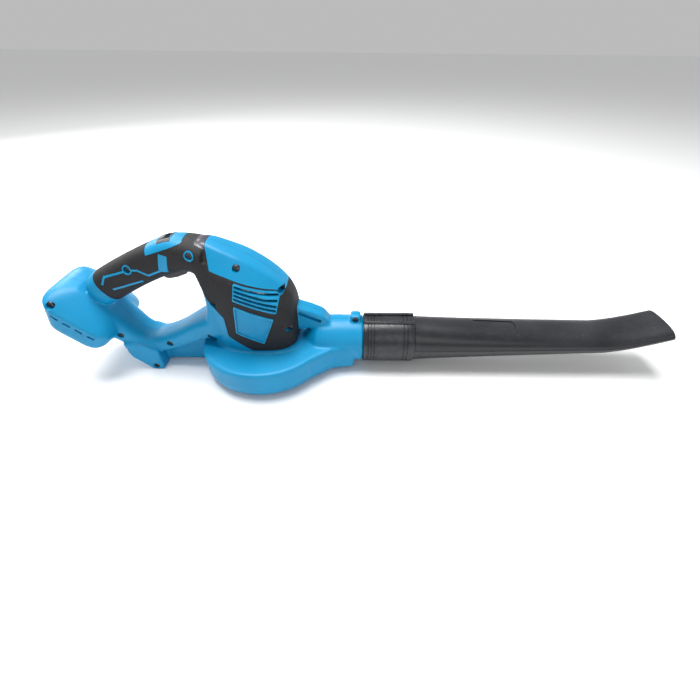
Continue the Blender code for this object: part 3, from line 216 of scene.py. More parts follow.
# ---------------------------------------------------------------- outlines on the sides, x and z
VENT = [(-12.5, 108.0), (25.5, 94.0), (21.5, 77.0), (-15.5, 91.5)]
VENT_SLOTS = 4
VENT_SLOT_WIDTH = 2.6
VENT_FRAME = 1.1
BADGE = [(-15.5, 87.0), (19.0, 73.0), (7.0, 45.5), (-18.5, 57.0)]
BADGE_RIM = 1.3
BADGE_RAISE = 0.8
PLATE_INNER = 19.0
OVERMOULD = [
    (-148.0, 150.0),
    (-38.5, 150.0),
    (-32.5, 116.0),
    (-19.0, 111.5),
    (20.0, 96.5),
    (26.0, 93.0),
    (45.0, 94.0),
    (45.0, 77.0),
    (36.6, 73.0),
    (36.6, 38.0),
    (21.0, 36.5),
    (-6.0, 36.0),
    (-27.0, 51.0),
    (-27.5, 72.0),
    (-40.0, 86.0),
    (-43.5, 92.0),
    (-46.0, 102.0),
    (-53.0, 109.0),
    (-66.0, 107.0),
    (-66.0, 80.0),
    (-128.0, 76.0),
    (-148.0, 110.0),
]
# where three forms meet, the rubber lies deeper
JUNCTION = ((-50.0, -32.0, 104.0), (-24.0, 32.0, 140.0))
JUNCTION_DEPTH = 1.6
SADDLE = [(-11.5, 9.0), (23.0, 9.0), (23.0, 40.0), (-11.5, 40.0)]
# teal lines let into the rubber on each side: points and width
INLAYS = (
    (((-134.0, 97.5), (-130.5, 104.5), (-105.0, 112.0), (-97.5, 112.0), (-89.5, 107.0), (-74.0, 113.0)), 2.4),
    (((-126.0, 93.0), (-97.0, 101.0)), 2.4),
    (((-75.5, 110.5), (-71.0, 126.5)), 8.0),
)
INLAY_SIDE = 9.0  # the lines lie outside this

# ---------------------------------------------------------------- screws
SCREW_HEAD_RADIUS = 2.9
SCREW_RIM = 1.3  # ring of the housing's own colour round a screw in the rubber
SCREW_BITE = 9.0
CROSS = (1.7, 0.35)  # half length and half width of a slot of the drive
BOSS_RADIUS = 3.8
RUBBER_SCREWS = ("grip_screw", "handle_front_screw")
SCREWS = [name for name in sorted(NODES) if name.endswith("_screw")]

# ---------------------------------------------------------------- nozzle
CUFF_START = 101.3
CUFF_LENGTH = 51.5
CUFF_RADIUS = 24.6
CUFF_BORE = 21.0
CUFF_STOP = 127.6
STOP_THICKNESS = 2.0
CUFF_LIP = 18.3
CUFF_SOCKET = 22.0
CUFF_GROOVES = (106.0, 109.0, 112.0, 141.5, 145.0)  # where the fine rings lie
CUFF_GROOVE_WIDTH = 1.2
CUFF_GROOVE_DEPTH = 0.5
CUFF_RAILS = (-7.0, 7.0)
RAIL_HALF_WIDTH = 1.5
RAIL_CREST = 1.0
CUFF_TWIST = 30.0
NECK_START = 129.9
NECK_RADIUS = 21.7
TUBE_START = 153.1
NOZZLE_LENGTH = 250.0
NOZZLE_RADIUS = 23.4
NOZZLE_WALL = 1.8
MOUTH_HALF_WIDTH = 22.5
MOUTH_HALF_HEIGHT = 7.5
TUBE_RISE = 6.0
MOUTH_RISE = 14.0
KICK_LENGTH = 62.0
KICK_TILT = 16.0
TUBE_STATIONS = 60
TUBE_POINTS = 96
SEAM_RIDGE = 0.5  # moulding line along both sides
PLATE_RECESS = ((214.0, -7.0), (256.0, 7.0))  # blank recess on the top of the tube
PLATE_DEPTH = 0.7
PLATE_CORNER = 4.0


# ---------------------------------------------------------------- mesh helpers
def object_from(bm, name):
    """An object from a bmesh in millimetres."""
    bmesh.ops.recalc_face_normals(bm, faces=bm.faces)
    bmesh.ops.scale(bm, vec=(MM, MM, MM), verts=bm.verts)
    mesh = bpy.data.meshes.new(name)
    bm.to_mesh(mesh)
    bm.free()
    obj = bpy.data.objects.new(name, mesh)
    bpy.context.scene.collection.objects.link(obj)
    return obj


def bake(obj):
    """Replaces an object's mesh by what its modifiers make of it."""
    bpy.context.view_layer.update()
    graph = bpy.context.evaluated_depsgraph_get()
    baked = bpy.data.meshes.new_from_object(obj.evaluated_get(graph))
    spent = obj.data
    obj.modifiers.clear()
    obj.data = baked
    bpy.data.meshes.remove(spent)
    return obj


def copy_of(obj):
    made = obj.copy()
    made.data = obj.data.copy()
    bpy.context.scene.collection.objects.link(made)
    return made


def combine(obj, other, operation):
    modifier = obj.modifiers.new(operation.title(), "BOOLEAN")
    modifier.operation = operation
    modifier.solver = "MANIFOLD"
    modifier.object = other
    bake(obj)
    bpy.data.objects.remove(other)
    return obj


def join(obj, *others):
    for other in others:
        combine(obj, other, "UNION")
    return obj


def cut(obj, *others):
    """Takes the other shapes away, as one cutter."""
    return combine(obj, join(*others), "DIFFERENCE")


def common(obj, other):
    return combine(obj, other, "INTERSECT")


def cylinder(start, end, radius, segments=40, far_radius=None):
    start, end = Vector(start), Vector(end)
    along = end - start
    turn = along.to_track_quat("Z", "Y").to_matrix().to_4x4()
    bm = bmesh.new()
    bmesh.ops.create_cone(
        bm,
        cap_ends=True,
        segments=segments,
        radius1=radius,
        radius2=radius if far_radius is None else far_radius,
        depth=along.length,
        matrix=Matrix.Translation((start + end) / 2) @ turn,
    )
    return object_from(bm, "cylinder")


def tube(start, end, radius, bore, segments=48):
    start, end = Vector(start), Vector(end)
    over = (end - start).normalized()
    return cut(cylinder(start, end, radius, segments), cylinder(start - over, end + over, bore, segments))


def box(low, high, place=None, rounding=0.0):
    low, high = Vector(low), Vector(high)
    fit = Matrix.Translation((low + high) / 2) @ Matrix.Diagonal((*(high - low), 1.0))
    bm = bmesh.new()
    bmesh.ops.create_cube(bm, size=1.0, matrix=fit)
    if rounding:
        bmesh.ops.bevel(
            bm,
            geom=bm.edges[:] + bm.verts[:],
            offset=rounding,
            affect="EDGES",
            segments=3,
            profile=0.5,
            material=-1,
        )
    bmesh.ops.transform(bm, matrix=place or Matrix(), verts=bm.verts)
    return object_from(bm, "box")


def prism(outline, low_y=-REACH, high_y=REACH):
    """A flat outline in X and Z, drawn out sideways."""
    bm = bmesh.new()
    face = bm.faces.new([bm.verts.new((x, low_y, z)) for x, z in outline])
    drawn = bmesh.ops.extrude_face_region(bm, geom=[face])
    moved = [item for item in drawn["geom"] if isinstance(item, bmesh.types.BMVert)]
    bmesh.ops.translate(bm, vec=(0, high_y - low_y, 0), verts=moved)
    return object_from(bm, "prism")


def loft(rings):
    """A closed solid through rings that have the same number of points."""
    bm = bmesh.new()
    loops = []
    for ring in rings:
        verts = [bm.verts.new(point) for point in ring]
        loops.append([bm.edges.new(pair) for pair in zip(verts, verts[1:] + verts[:1])])
    for near, far in zip(loops, loops[1:]):
        bmesh.ops.bridge_loops(bm, edges=near + far)
    bmesh.ops.holes_fill(bm, edges=loops[0] + loops[-1], sides=0)
    return object_from(bm, "loft")


def turned(profile, segments=96, axis="Z", centre=(0.0, 0.0, 0.0)):
    """A profile of radius and height pairs, turned right round an axis."""
    bm = bmesh.new()
    verts = [bm.verts.new((radius, 0, height)) for radius, height in profile]
    edges = [bm.edges.new(pair) for pair in zip(verts, verts[1:] + verts[:1])]
    bmesh.ops.spin(
        bm,
        geom=verts + edges,
        cent=(0, 0, 0),
        axis=(0, 0, 1),
        angle=2 * math.pi,
        steps=segments,
        use_merge=True,
    )
    bmesh.ops.remove_doubles(bm, verts=bm.verts, dist=1e-4)
    turn = Matrix.Rotation(math.radians(90), 4, "Y") if axis == "X" else Matrix()
    bmesh.ops.transform(bm, matrix=Matrix.Translation(centre) @ turn, verts=bm.verts)
    return object_from(bm, "turned")


def blended(a, b, share):
    return a + (b - a) * share


def powered(value, power):
    return math.copysign(abs(value) ** (2 / power), value)


def section(x, z, tilt, half_width, half_height, power=2.0, count=RING_POINTS):
    """A rounded section that stands across a path in the XZ plane."""
    lean = math.radians(tilt)
    points = []
    for i in range(count):
        angle = 2 * math.pi * (i + 0.5) / count
        y = half_width * powered(math.cos(angle), power)
        height = half_height * powered(math.sin(angle), power)
        points.append((x - height * math.sin(lean), y, z + height * math.cos(lean)))
    return points


def flowing(rows, steps=4):
    """Stations between the given ones, on a smooth curve through them."""
    padded = [rows[0], *rows, rows[-1]]
    made = []
    for a, b, c, d in zip(padded, padded[1:], padded[2:], padded[3:]):
        for i in range(steps):
            t = i / steps
            row = []
            for p, q, r, s in zip(a, b, c, d):
                bend = (2 * p - 5 * q + 4 * r - s) * t**2 + (3 * q - p - 3 * r + s) * t**3
                row.append(q + (r - p) * t / 2 + bend / 2)
            made.append(tuple(row))
    return [*made, rows[-1]]


def offset_outline(points, distance):
    """A closed outline moved inwards by a distance, or outwards where it is negative."""
    area = sum(a[0] * b[1] - b[0] * a[1] for a, b in zip(points, points[1:] + points[:1]))
    side = 1 if area > 0 else -1
    moved = []
    for before, here, after in zip(points[-1:] + points[:-1], points, points[1:] + points[:1]):
        first = (Vector(here) - Vector(before)).normalized()
        second = (Vector(after) - Vector(here)).normalized()
        normal_a = Vector((-first.y, first.x)) * side
        normal_b = Vector((-second.y, second.x)) * side
        middle = (normal_a + normal_b) / (1 + normal_a.dot(normal_b))
        moved.append(tuple(Vector(here) + middle * distance))
    return moved


def rounded_outline(points, radius, steps=5):
    """A closed outline with its corners rounded."""
    made = []
    for before, here, after in zip(points[-1:] + points[:-1], points, points[1:] + points[:1]):
        corner = Vector(here)
        start = corner + (Vector(before) - corner).normalized() * radius
        end = corner + (Vector(after) - corner).normalized() * radius
        for i in range(steps + 1):
            t = i / steps
            made.append(tuple(start * (1 - t) ** 2 + corner * 2 * t * (1 - t) + end * t**2))
    return made


def ribbon_outline(points, width):
    """The outline of a line of some width through points in X and Z."""
    stops = [Vector(p) for p in points]
    left, right = [], []
    for i, here in enumerate(stops):
        back = (here - stops[i - 1] if i else stops[1] - here).normalized()
        ahead = (stops[i + 1] - here if i + 1 < len(stops) else here - stops[i - 1]).normalized()
        normal = Vector((-back.y - ahead.y, back.x + ahead.x)) / (1 + back.dot(ahead))
        left.append(tuple(here + normal * width / 2))
        right.append(tuple(here - normal * width / 2))
    return left + right[::-1]


# ---------------------------------------------------------------- forms of the housing
def scroll_outline(inset):
    start, full, end, steps = 42, 222, 320, 70
    points = []
    for i in range(steps + 1):
        angle = blended(start, end, i / steps)
        growth = min(1.0, (angle - start) / (full - start))
        radius = SCROLL_RADIUS + SCROLL_GROWTH * growth - inset
        points.append((radius * math.cos(math.radians(angle)), radius * math.sin(math.radians(angle))))
    half = DUCT_RADIUS - inset
    points += [(70.0, -half - 3.0), (92.0, -half + 0.6), (92.0, half - 0.6), (66.0, half)]
    return points


def volute_form(inset=0.0):
    low = [(9.0, STAND), (3.2, STAND + 2.2), (0.8, STAND + 6.5), (0.0, STAND + 12.0)]
    rings = []
    for i, (inward, z) in enumerate(flowing(low, 3)):
        rings.append((inward + inset, z + inset * (1.0 if i == 0 else 0.5)))
    for inward, drop in SHELF_ROUNDING:
        rings.append((inward + inset, SHELF_Z - drop - inset))
    return loft([[(x, y, z) for x, y in scroll_outline(inward)] for inward, z in rings])


def duct_form(inset=0.0, end=DUCT_END):
    rings = []
    for x, share, drop in flowing([*DUCT[:-1], (end, 1.0, 0.0)], 3):
        radius = DUCT_RADIUS * share - inset
        rings.append(section(x, DUCT_Z + drop, 0, radius, radius))
    return loft(rings)


def shouldered(ring, middle, half_width, half_height):
    """Flattens the upper corners of a section into sloping shoulders."""
    made = []
    for x, y, z in ring:
        reach = SHOULDER_SIDE * abs(y) / half_width + SHOULDER_TOP * (z - middle) / half_height
        pull = min(1.0, SHOULDER_REACH / reach) if z > middle else 1.0
        made.append((x, y * pull, middle + (z - middle) * pull))
    return made


def motor_form(inset=0.0, count=RING_POINTS):
    rows = flowing(MOTOR)
    rings = []
    for i, (x, half_width, rise) in enumerate(rows):
        at = x + inset if i == 0 else x - inset if i == len(rows) - 1 else x
        half_height = (SHELF_Z + rise - MOTOR_LOW) / 2
        middle = MOTOR_LOW + half_height
        ring = section(at, middle, 0, half_width - inset, half_height - inset, 3.2, count)
        rings.append(shouldered(ring, middle, half_width - inset, half_height - inset))
    return loft(rings)


def lofted(stations, inset, power, count=RING_POINTS):
    rows = flowing(stations)
    return loft([section(x, z, tilt, w - inset, h - inset, power, count) for x, z, tilt, w, h in rows])


def grip_form(inset=0.0, count=RING_POINTS):
    return lofted(GRIP, inset, 2.6, count)


def strut_form(inset=0.0, count=RING_POINTS):
    return lofted(STRUT, inset, 3.0, count)


def bridge_form(inset=0.0, count=RING_POINTS):
    return lofted(BRIDGE, inset, 3.4, count)


def upper_form(inset, count=RING_POINTS):
    return join(motor_form(inset, count), strut_form(inset, count), grip_form(inset, count))


def mount_place():
    """Local axes of the battery mount: X down its slope, Z out of its top."""
    x, z = MOUNT_REAR
    return Matrix.Translation((x, 0, z)) @ Matrix.Rotation(math.radians(MOUNT_TILT), 4, "Y")


def mount_form(inset=0.0, low=0.0):
    place = mount_place()
    foot = [(low, *MOUNT_FOOT[0][1:]), (low + 3.0, *MOUNT_FOOT[1][1:])]
    rings = []
    for height, middle, half_length, half_width in [*foot, *flowing(MOUNT_DOME)]:
        ring = []
        for i in range(RING_POINTS):
            angle = 2 * math.pi * (i + 0.5) / RING_POINTS
            along = middle + (half_length - inset) * powered(math.cos(angle), 5.0)
            across = (half_width - inset) * powered(math.sin(angle), 5.0)
            ring.append(place @ Vector((along, across, height - inset * (height > low))))
        rings.append(ring)
    return loft(rings)


def fin_form(inset=0.0):
    half = FIN_HALF_WIDTH - inset
    return prism(rounded_outline(list(FIN), 3.0), -half, half)


def duct_boss_form():
    return box((88.0, -6.0, DUCT_Z + 12.0), (98.5, 6.0, DUCT_Z + DUCT_RADIUS + 6.5), rounding=1.5)


def heel_form(inset=0.0):
    half = HEEL_HALF_WIDTH - inset
    return prism(offset_outline(list(HEEL), inset), -half, half)


def web_form():
    return prism(WEB, -WEB_HALF_WIDTH, WEB_HALF_WIDTH)


def moulded_body():
    """All the outer forms as one smooth body, with fillets where they meet."""
    pieces = [motor_form(), strut_form(), grip_form(), volute_form(), duct_form(), bridge_form()]
    pieces += [mount_form(), fin_form(), duct_boss_form(), heel_form(), web_form()]
    bm = bmesh.new()
    for piece in pieces:
        bm.from_mesh(piece.data)
        bpy.data.objects.remove(piece)
    bmesh.ops.scale(bm, vec=(1 / MM,) * 3, verts=bm.verts)
    body = object_from(bm, "body")
    remesh = body.modifiers.new("Skin", "REMESH")
    remesh.mode = "VOXEL"
    remesh.voxel_size = BODY_VOXEL * MM
    smooth = body.modifiers.new("Fillets", "SMOOTH")
    smooth.factor = 0.5
    smooth.iterations = BODY_ROUNDS
    return bake(body)


def grip_local(along, height):
    """A point beside the trigger: along the grip, and up from its middle."""
    lean = math.radians(TRIGGER_TILT)
    x = TRIGGER_X + along * math.cos(lean) - height * math.sin(lean)
    z = TRIGGER_Z + along * math.sin(lean) + height * math.cos(lean)
    return (x, z)


def grip_place():
    turn = Matrix.Rotation(math.radians(-TRIGGER_TILT), 4, "Y")
    return Matrix.Translation((TRIGGER_X, 0, TRIGGER_Z)) @ turn


# ---------------------------------------------------------------- cutters of the housing
def screw_places():
    """x, z and the outside of the head of each screw, from its CAD node."""
    places = {}
    for name in SCREWS:
        low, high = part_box(name)
        middle = (low + high) / 2 / MM
        places[name] = (middle.x, middle.z, low.y / MM)
    return places


def screw_cutters(places):
    cutters = []
    for x, z, outer in places.values():
        cutters.append(cylinder((x, -2 * REACH, z), (x, outer + 2.3, z), SCREW_HEAD_RADIUS + GAP))
        cutters.append(cylinder((x, outer + 1.0, z), (x, SCREW_BITE + 1, z), 1.8, 16))
    return cutters


def overmould_region(clearance, places):
    """Where the rubber lies, seen from the side, without the saddle, the lines and the screw rings."""
    region = prism(offset_outline(OVERMOULD, -clearance))
    islands = [prism([grip_local(*point) for point in offset_outline(SADDLE, clearance)])]
    for points, width in INLAYS:
        outline = ribbon_outline(points, width - 2 * clearance)
        islands.append(prism(outline, -REACH, -INLAY_SIDE))
        islands.append(prism(outline, INLAY_SIDE, REACH))
    for name in RUBBER_SCREWS:
        x, z, _ = places[name]
        radius = SCREW_HEAD_RADIUS + GAP + SCREW_RIM - clearance
        islands.append(cylinder((x, -REACH, z), (x, -2.0, z), radius))
    return cut(region, *islands)


def overmould_recess(places):
    layer = cut(overmould_region(GAP, places), upper_form(SKIN + GAP, CUTTER_POINTS))
    return cut(layer, mount_form(), bridge_form(), fin_form())


def bezel_layer(clearance, outer):
    """The thin dark frame let into the saddle round the slider."""
    grow = Vector((clearance, clearance, 0.0))
    low = Vector((SLIDER_REAR - BEZEL_REAR, -BEZEL_HALF_WIDTH, 0.0)) - grow
    high = Vector((SLIDER_REAR + BEZEL_FRONT, BEZEL_HALF_WIDTH, 2 * GRIP_HALF_HEIGHT)) + grow
    layer = box(low, high, grip_place())
    return cut(common(layer, grip_form(outer)), grip_form(BEZEL_DEPTH + clearance))


def slider_bezel(paints):
    bezel = cut(bezel_layer(0.0, -0.2), slider_window())
    bezel.name = "slider_bezel"
    bezel.data.materials.clear()
    bezel.data.materials.append(paints["dark_plastic"])
    bezel.data.shade_smooth()
    bezel.data.set_sharp_from_angle(angle=math.radians(35))
    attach(bezel, "housing")


def side_windows(outline, clearance):
    shape = offset_outline(outline, -clearance)
    inside = PLATE_INNER - 1.5
    return [prism(shape, -REACH, -inside), prism(shape, inside, REACH)]


def trigger_slot():
    rear = -TRIGGER_HALF_LENGTH - GAP
    front = TRIGGER_HALF_LENGTH + GAP + TRIGGER_TRAVEL * math.sin(math.radians(TRIGGER_TILT))
    half = TRIGGER_HALF_WIDTH + GAP
    low, high = -GRIP_HALF_HEIGHT - 4.0, -GRIP_HALF_HEIGHT + BODY_WALL + 3.0
    return box((rear, -half, low), (front, half, high), grip_place())


def slider_window():
    rear = SLIDER_REAR - GAP
    front = SLIDER_REAR + SLIDER_LENGTH + SLIDER_TRAVEL + GAP
    half = SLIDER_HALF_WIDTH + GAP
    low, high = GRIP_HALF_HEIGHT - BODY_WALL - 3.0, GRIP_HALF_HEIGHT + 8.0
    return box((rear, -half, low), (front, half, high), grip_place())


def slider_path():
    rear = SLIDER_REAR - SLIDER_BASE - GAP
    front = SLIDER_REAR + SLIDER_LENGTH + SLIDER_BASE + SLIDER_TRAVEL + GAP
    low = SLIDER_ROOF - SLIDER_BASE_HEIGHT - GAP
    return box((rear, -SLIDER_HALF_WIDTH, low), (front, SLIDER_HALF_WIDTH, SLIDER_ROOF + 1.0), grip_place())


def battery_channel():
    place = mount_place()
    rear = -24.0
    half = CHANNEL_HALF_WIDTH
    wide = box((rear, -half, RAIL_LIP), (CHANNEL_LENGTH, half, CHANNEL_DEPTH), place)
    neck = half - RAIL_REACH
    return join(wide, box((rear, -neck, -8.0), (CHANNEL_LENGTH, neck, RAIL_LIP + 1.0), place))


def terminal_hole():
    clear = Vector((GAP, GAP, 0.0))
    return box(Vector(STEM_LOW) - clear - Vector((0, 0, 2.0)), Vector(STEM_HIGH) + clear, mount_place())


def skirt_slots():
    """Four blind slots along the top of each side of the skirt."""
    slots = []
    floor = MOUNT_HALF_WIDTH - SKIRT_SLOT_DEPTH
    for side in (-1, 1):
        near, far = sorted((side * (MOUNT_HALF_WIDTH + 1.0), side * floor))
        for i in range(SKIRT_SLOTS):
            along = 1.0 + SKIRT_SLOT_PITCH * i
            low = (along, near, MOUNT_SKIRT - 6.2)
            high = (along + SKIRT_SLOT_LENGTH, far, MOUNT_SKIRT - 4.2)
            slots.append(box(low, high, mount_place()))
    return slots


def hanging_slot():
    return prism(rounded_outline(HANGING_SLOT, 1.6), -REACH, -FIN_HALF_WIDTH + 3.0)


def seal_groove():
    outer, floor = SPIGOT_RADIUS + 3.0, SPIGOT_RADIUS - SEAL_DEPTH
    low, high = SEAL_X - SEAL_HALF, SEAL_X + SEAL_HALF
    return turned([(outer, high), (outer, low), (floor, low), (floor, high)], 64, "X", (0, 0, DUCT_Z))


def spigot_lugs():
    lugs = []
    half = SPIGOT_RADIUS * math.sin(math.radians(LUG_ANGLE / 2))
    for side in (-1, 1):
        near, far = sorted((side * SPIGOT_RADIUS / 2, side * SPIGOT_RADIUS * 1.5))
        block = box((LUG_START - 1, near, DUCT_Z - half), (LUG_END + 1, far, DUCT_Z + half))
        ends = ((LUG_START, 0, DUCT_Z), (LUG_END, 0, DUCT_Z))
        lugs.append(common(block, tube(*ends, SPIGOT_RADIUS + LUG_HEIGHT, SPIGOT_RADIUS - 1.0)))
    return lugs


def cavity_form():
    """All the hollows, with the ribs, the deck and the screw bosses left standing."""
    inside = upper_form(BODY_WALL, CUTTER_POINTS)
    air_way = (volute_form(WALL), duct_form(WALL, DUCT_END - 3.0))
    inside = join(inside, *air_way, bridge_form(WALL, CUTTER_POINTS))
    lead_way = cylinder(*LEAD_WAY, LEAD_WAY_RADIUS, 24)
    inside = join(inside, mount_form(WALL, CHANNEL_DEPTH + WALL), heel_form(WALL), lead_way)
    deck = box((DECK_REAR, -REACH, SHELF_Z - WALL - 0.2), (DECK_FRONT, REACH, SHELF_Z))
    standing = [cut(deck, cylinder((0, 0, 0), (0, 0, SHELF_Z + 5), DECK_BORE))]
    for height in (CAN_Z + 8.0, CAN_Z + CAN_LENGTH - 14.0):
        rib = box((RIB_REAR, -REACH, height), (RIB_FRONT, REACH, height + RIB_THICKNESS))
        standing.append(cut(rib, cylinder((0, 0, height - 1), (0, 0, height + 4), CAN_RADIUS + GAP)))
    for side in (-1, 1):
        near = SWITCH_HALF_LENGTH + GAP
        low, high = sorted((side * near, side * (near + 1.6)))
        ends = ((low, -SWITCH_HALF_WIDTH, SWITCH_LOW), (high, SWITCH_HALF_WIDTH, GRIP_HALF_HEIGHT))
        standing.append(cut(box(*ends, grip_place()), slider_path()))
    for x, z, _ in screw_places().values():
        standing.append(cylinder((x, -REACH, z), (x, REACH, z), BOSS_RADIUS, 24))
    inside = cut(inside, *standing)
    passage = ((DUCT_END - 8.0, 0, DUCT_Z), (SPIGOT_END + 4, 0, DUCT_Z))
    return join(inside, cylinder(*passage, SPIGOT_RADIUS - WALL, 64))


def inlet_cutters():
    floor = STAND + WALL
    hole = cylinder((0, 0, -1), (0, 0, floor + 2), INLET_RADIUS, 64)
    seat = cylinder((0, 0, STAND + GRILLE_LIP), (0, 0, floor + 2), INLET_RADIUS + GRILLE_SEAT + GAP, 64)
    return [hole, seat]


def halves(body):
    """The two sides of the parting plane, right first."""
    left = common(copy_of(body), box((-FAR, PARTING, -FAR), (FAR, FAR, FAR)))
    return common(body, box((-FAR, -FAR, -FAR), (FAR, -PARTING, FAR))), left


def largest_only(obj):
    """Removes loose specks that a Boolean can leave."""
    bm = bmesh.new()
    bm.from_mesh(obj.data)
    left = set(bm.verts)
    shells = []
    while left:
        shell = [left.pop()]
        for vert in shell:
            near = {edge.other_vert(vert) for edge in vert.link_edges} & left
            left -= near
            shell += near
        shells.append(shell)
    shells.sort(key=len)
    for shell in shells[:-1]:
        bmesh.ops.delete(bm, geom=shell, context="VERTS")
    bm.to_mesh(obj.data)
    bm.free()


def finish_piece(obj, name, node, paint, angle=38):
    """Names a finished piece, paints it and lets it stand for its CAD node."""
    obj.name = name
    obj.data.name = name
    obj.data.materials.clear()
    obj.data.materials.append(paint)
    obj.data.shade_smooth()
    obj.data.set_sharp_from_angle(angle=math.radians(angle))
    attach(obj, NODES[node]["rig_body"])
    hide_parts(node)
    return obj


def housing_and_overmoulds(paints):
    places = screw_places()
    body = moulded_body()
    rubber = common(copy_of(body), overmould_region(0.0, places))
    junction = cut(upper_form(SKIN, CUTTER_POINTS), box(*JUNCTION))
    inner = [junction, upper_form(SKIN + JUNCTION_DEPTH, CUTTER_POINTS)]
    inner += [mount_form(-GAP), bridge_form(-GAP), fin_form(-GAP)]
    openings = [trigger_slot(), slider_window(), *side_windows(VENT, 0.0), *side_windows(BADGE, 0.0)]
    rubber = cut(rubber, *inner, *openings)
    rubber_right, rubber_left = halves(rubber)
    rubber_right = cut(rubber_right, *screw_cutters(places))
    body = cut(body, overmould_recess(places))
    pads = [cylinder((x, y, 0.0), (x, y, STAND + 4.0), 5.0, 32, 6.0) for x, y in PAD_PLACES]
    spigot = cylinder((DUCT_END - 6.0, 0, DUCT_Z), (SPIGOT_END, 0, DUCT_Z), SPIGOT_RADIUS, 64)
    body = cut(join(body, spigot, *pads), cavity_form())
    cutters = [battery_channel(), terminal_hole(), *skirt_slots(), hanging_slot(), trigger_slot()]
    cutters += [slider_window(), slider_path(), bezel_layer(0.12, -5.0), seal_groove(), *inlet_cutters()]
    cutters += [*side_windows(VENT, 0.0), *side_windows(BADGE, 0.0)]
    body = cut(body, *cutters)
    body = join(body, *spigot_lugs())
    body = cut(body, *screw_cutters(places))
    right, left = halves(body)
    for obj in (right, left, rubber_right, rubber_left):
        largest_only(obj)
    finish_piece(right, "shell_right", "housing_right", paints["teal_plastic"])
    finish_piece(left, "shell_left", "housing_left", paints["teal_plastic"])
    finish_piece(rubber_right, "grip_rubber_right", "overmould_right", paints["black_rubber"])
    finish_piece(rubber_left, "grip_rubber_left", "overmould_left", paints["black_rubber"])


# ---------------------------------------------------------------- side plates and screws
def mirrored_copy(obj):
    made = copy_of(obj)
    made.data.transform(Matrix.Scale(-1, 4, (0, 1, 0)))
    made.data.flip_normals()
    return made


def side_plate(outline, outer, inner):
    plate = cut(motor_form(outer), motor_form(inner))
    shape = rounded_outline(offset_outline(outline, GAP), 1.2)
    return common(plate, prism(shape, -REACH, -PLATE_INNER))


def vent_grilles(paints):
    grille = side_plate(VENT, 0.1, 3.0)
    top_left, top_right, low_right, low_left = (Vector(p) for p in offset_outline(VENT, VENT_FRAME))
    slots = []
    for i in range(VENT_SLOTS):
        share = (i + 0.5) / VENT_SLOTS
        left, right = top_left.lerp(low_left, share), top_right.lerp(low_right, share)
        half = Vector((0, VENT_SLOT_WIDTH / 2))
        outline = [tuple(left + half), tuple(right + half), tuple(right - half), tuple(left - half)]
        slots.append(prism(rounded_outline(outline, 0.9), -REACH, 0.0))
    grille = cut(grille, *slots)
    other = mirrored_copy(grille)
    finish_piece(grille, "louvres_right", "vent_grille_right", paints["teal_plastic"])
    finish_piece(other, "louvres_left", "vent_grille_left", paints["teal_plastic"])


def badge_panels(paints):
    panel = side_plate(BADGE, -BADGE_RAISE, 2.6)
    field = rounded_outline(offset_outline(BADGE, GAP + BADGE_RIM), 1.0)
    sink = cut(prism(field, -REACH, -PLATE_INNER), motor_form(0.15))
    panel = cut(panel, sink)
    other = mirrored_copy(panel)
    finish_piece(panel, "panel_right", "badge_panel_right", paints["teal_plastic"])
    finish_piece(other, "panel_left", "badge_panel_left", paints["teal_plastic"])


def screws(paints):
    """Pan heads with a cross recess, each on its shank."""
    for name, (x, z, outer) in screw_places().items():
        radius = SCREW_HEAD_RADIUS
        profile = [(0.02, 0.0), (radius * 0.7, 0.08), (radius * 0.92, 0.4), (radius, 0.9), (radius, 2.0)]
        shank_end = SCREW_BITE - outer
        profile += [(1.5, 2.0), (1.5, shank_end - 1.5), (0.02, shank_end)]
        screw = turned(profile, 40)
        cross = [box((-x, -y, -1), (x, y, 1.1)) for x, y in (CROSS, CROSS[::-1])]
        screw = cut(screw, *cross)
        place = Matrix.Translation(Vector((x, outer, z)) * MM) @ Matrix.Rotation(math.radians(-90), 4, "X")
        turn = Matrix.Rotation(math.radians(SCREWS.index(name) * 37), 4, "Z")
        screw.data.transform(place @ turn)
        finish_piece(screw, name.replace("_screw", "_fixing"), name, paints["black_screw"], 30)


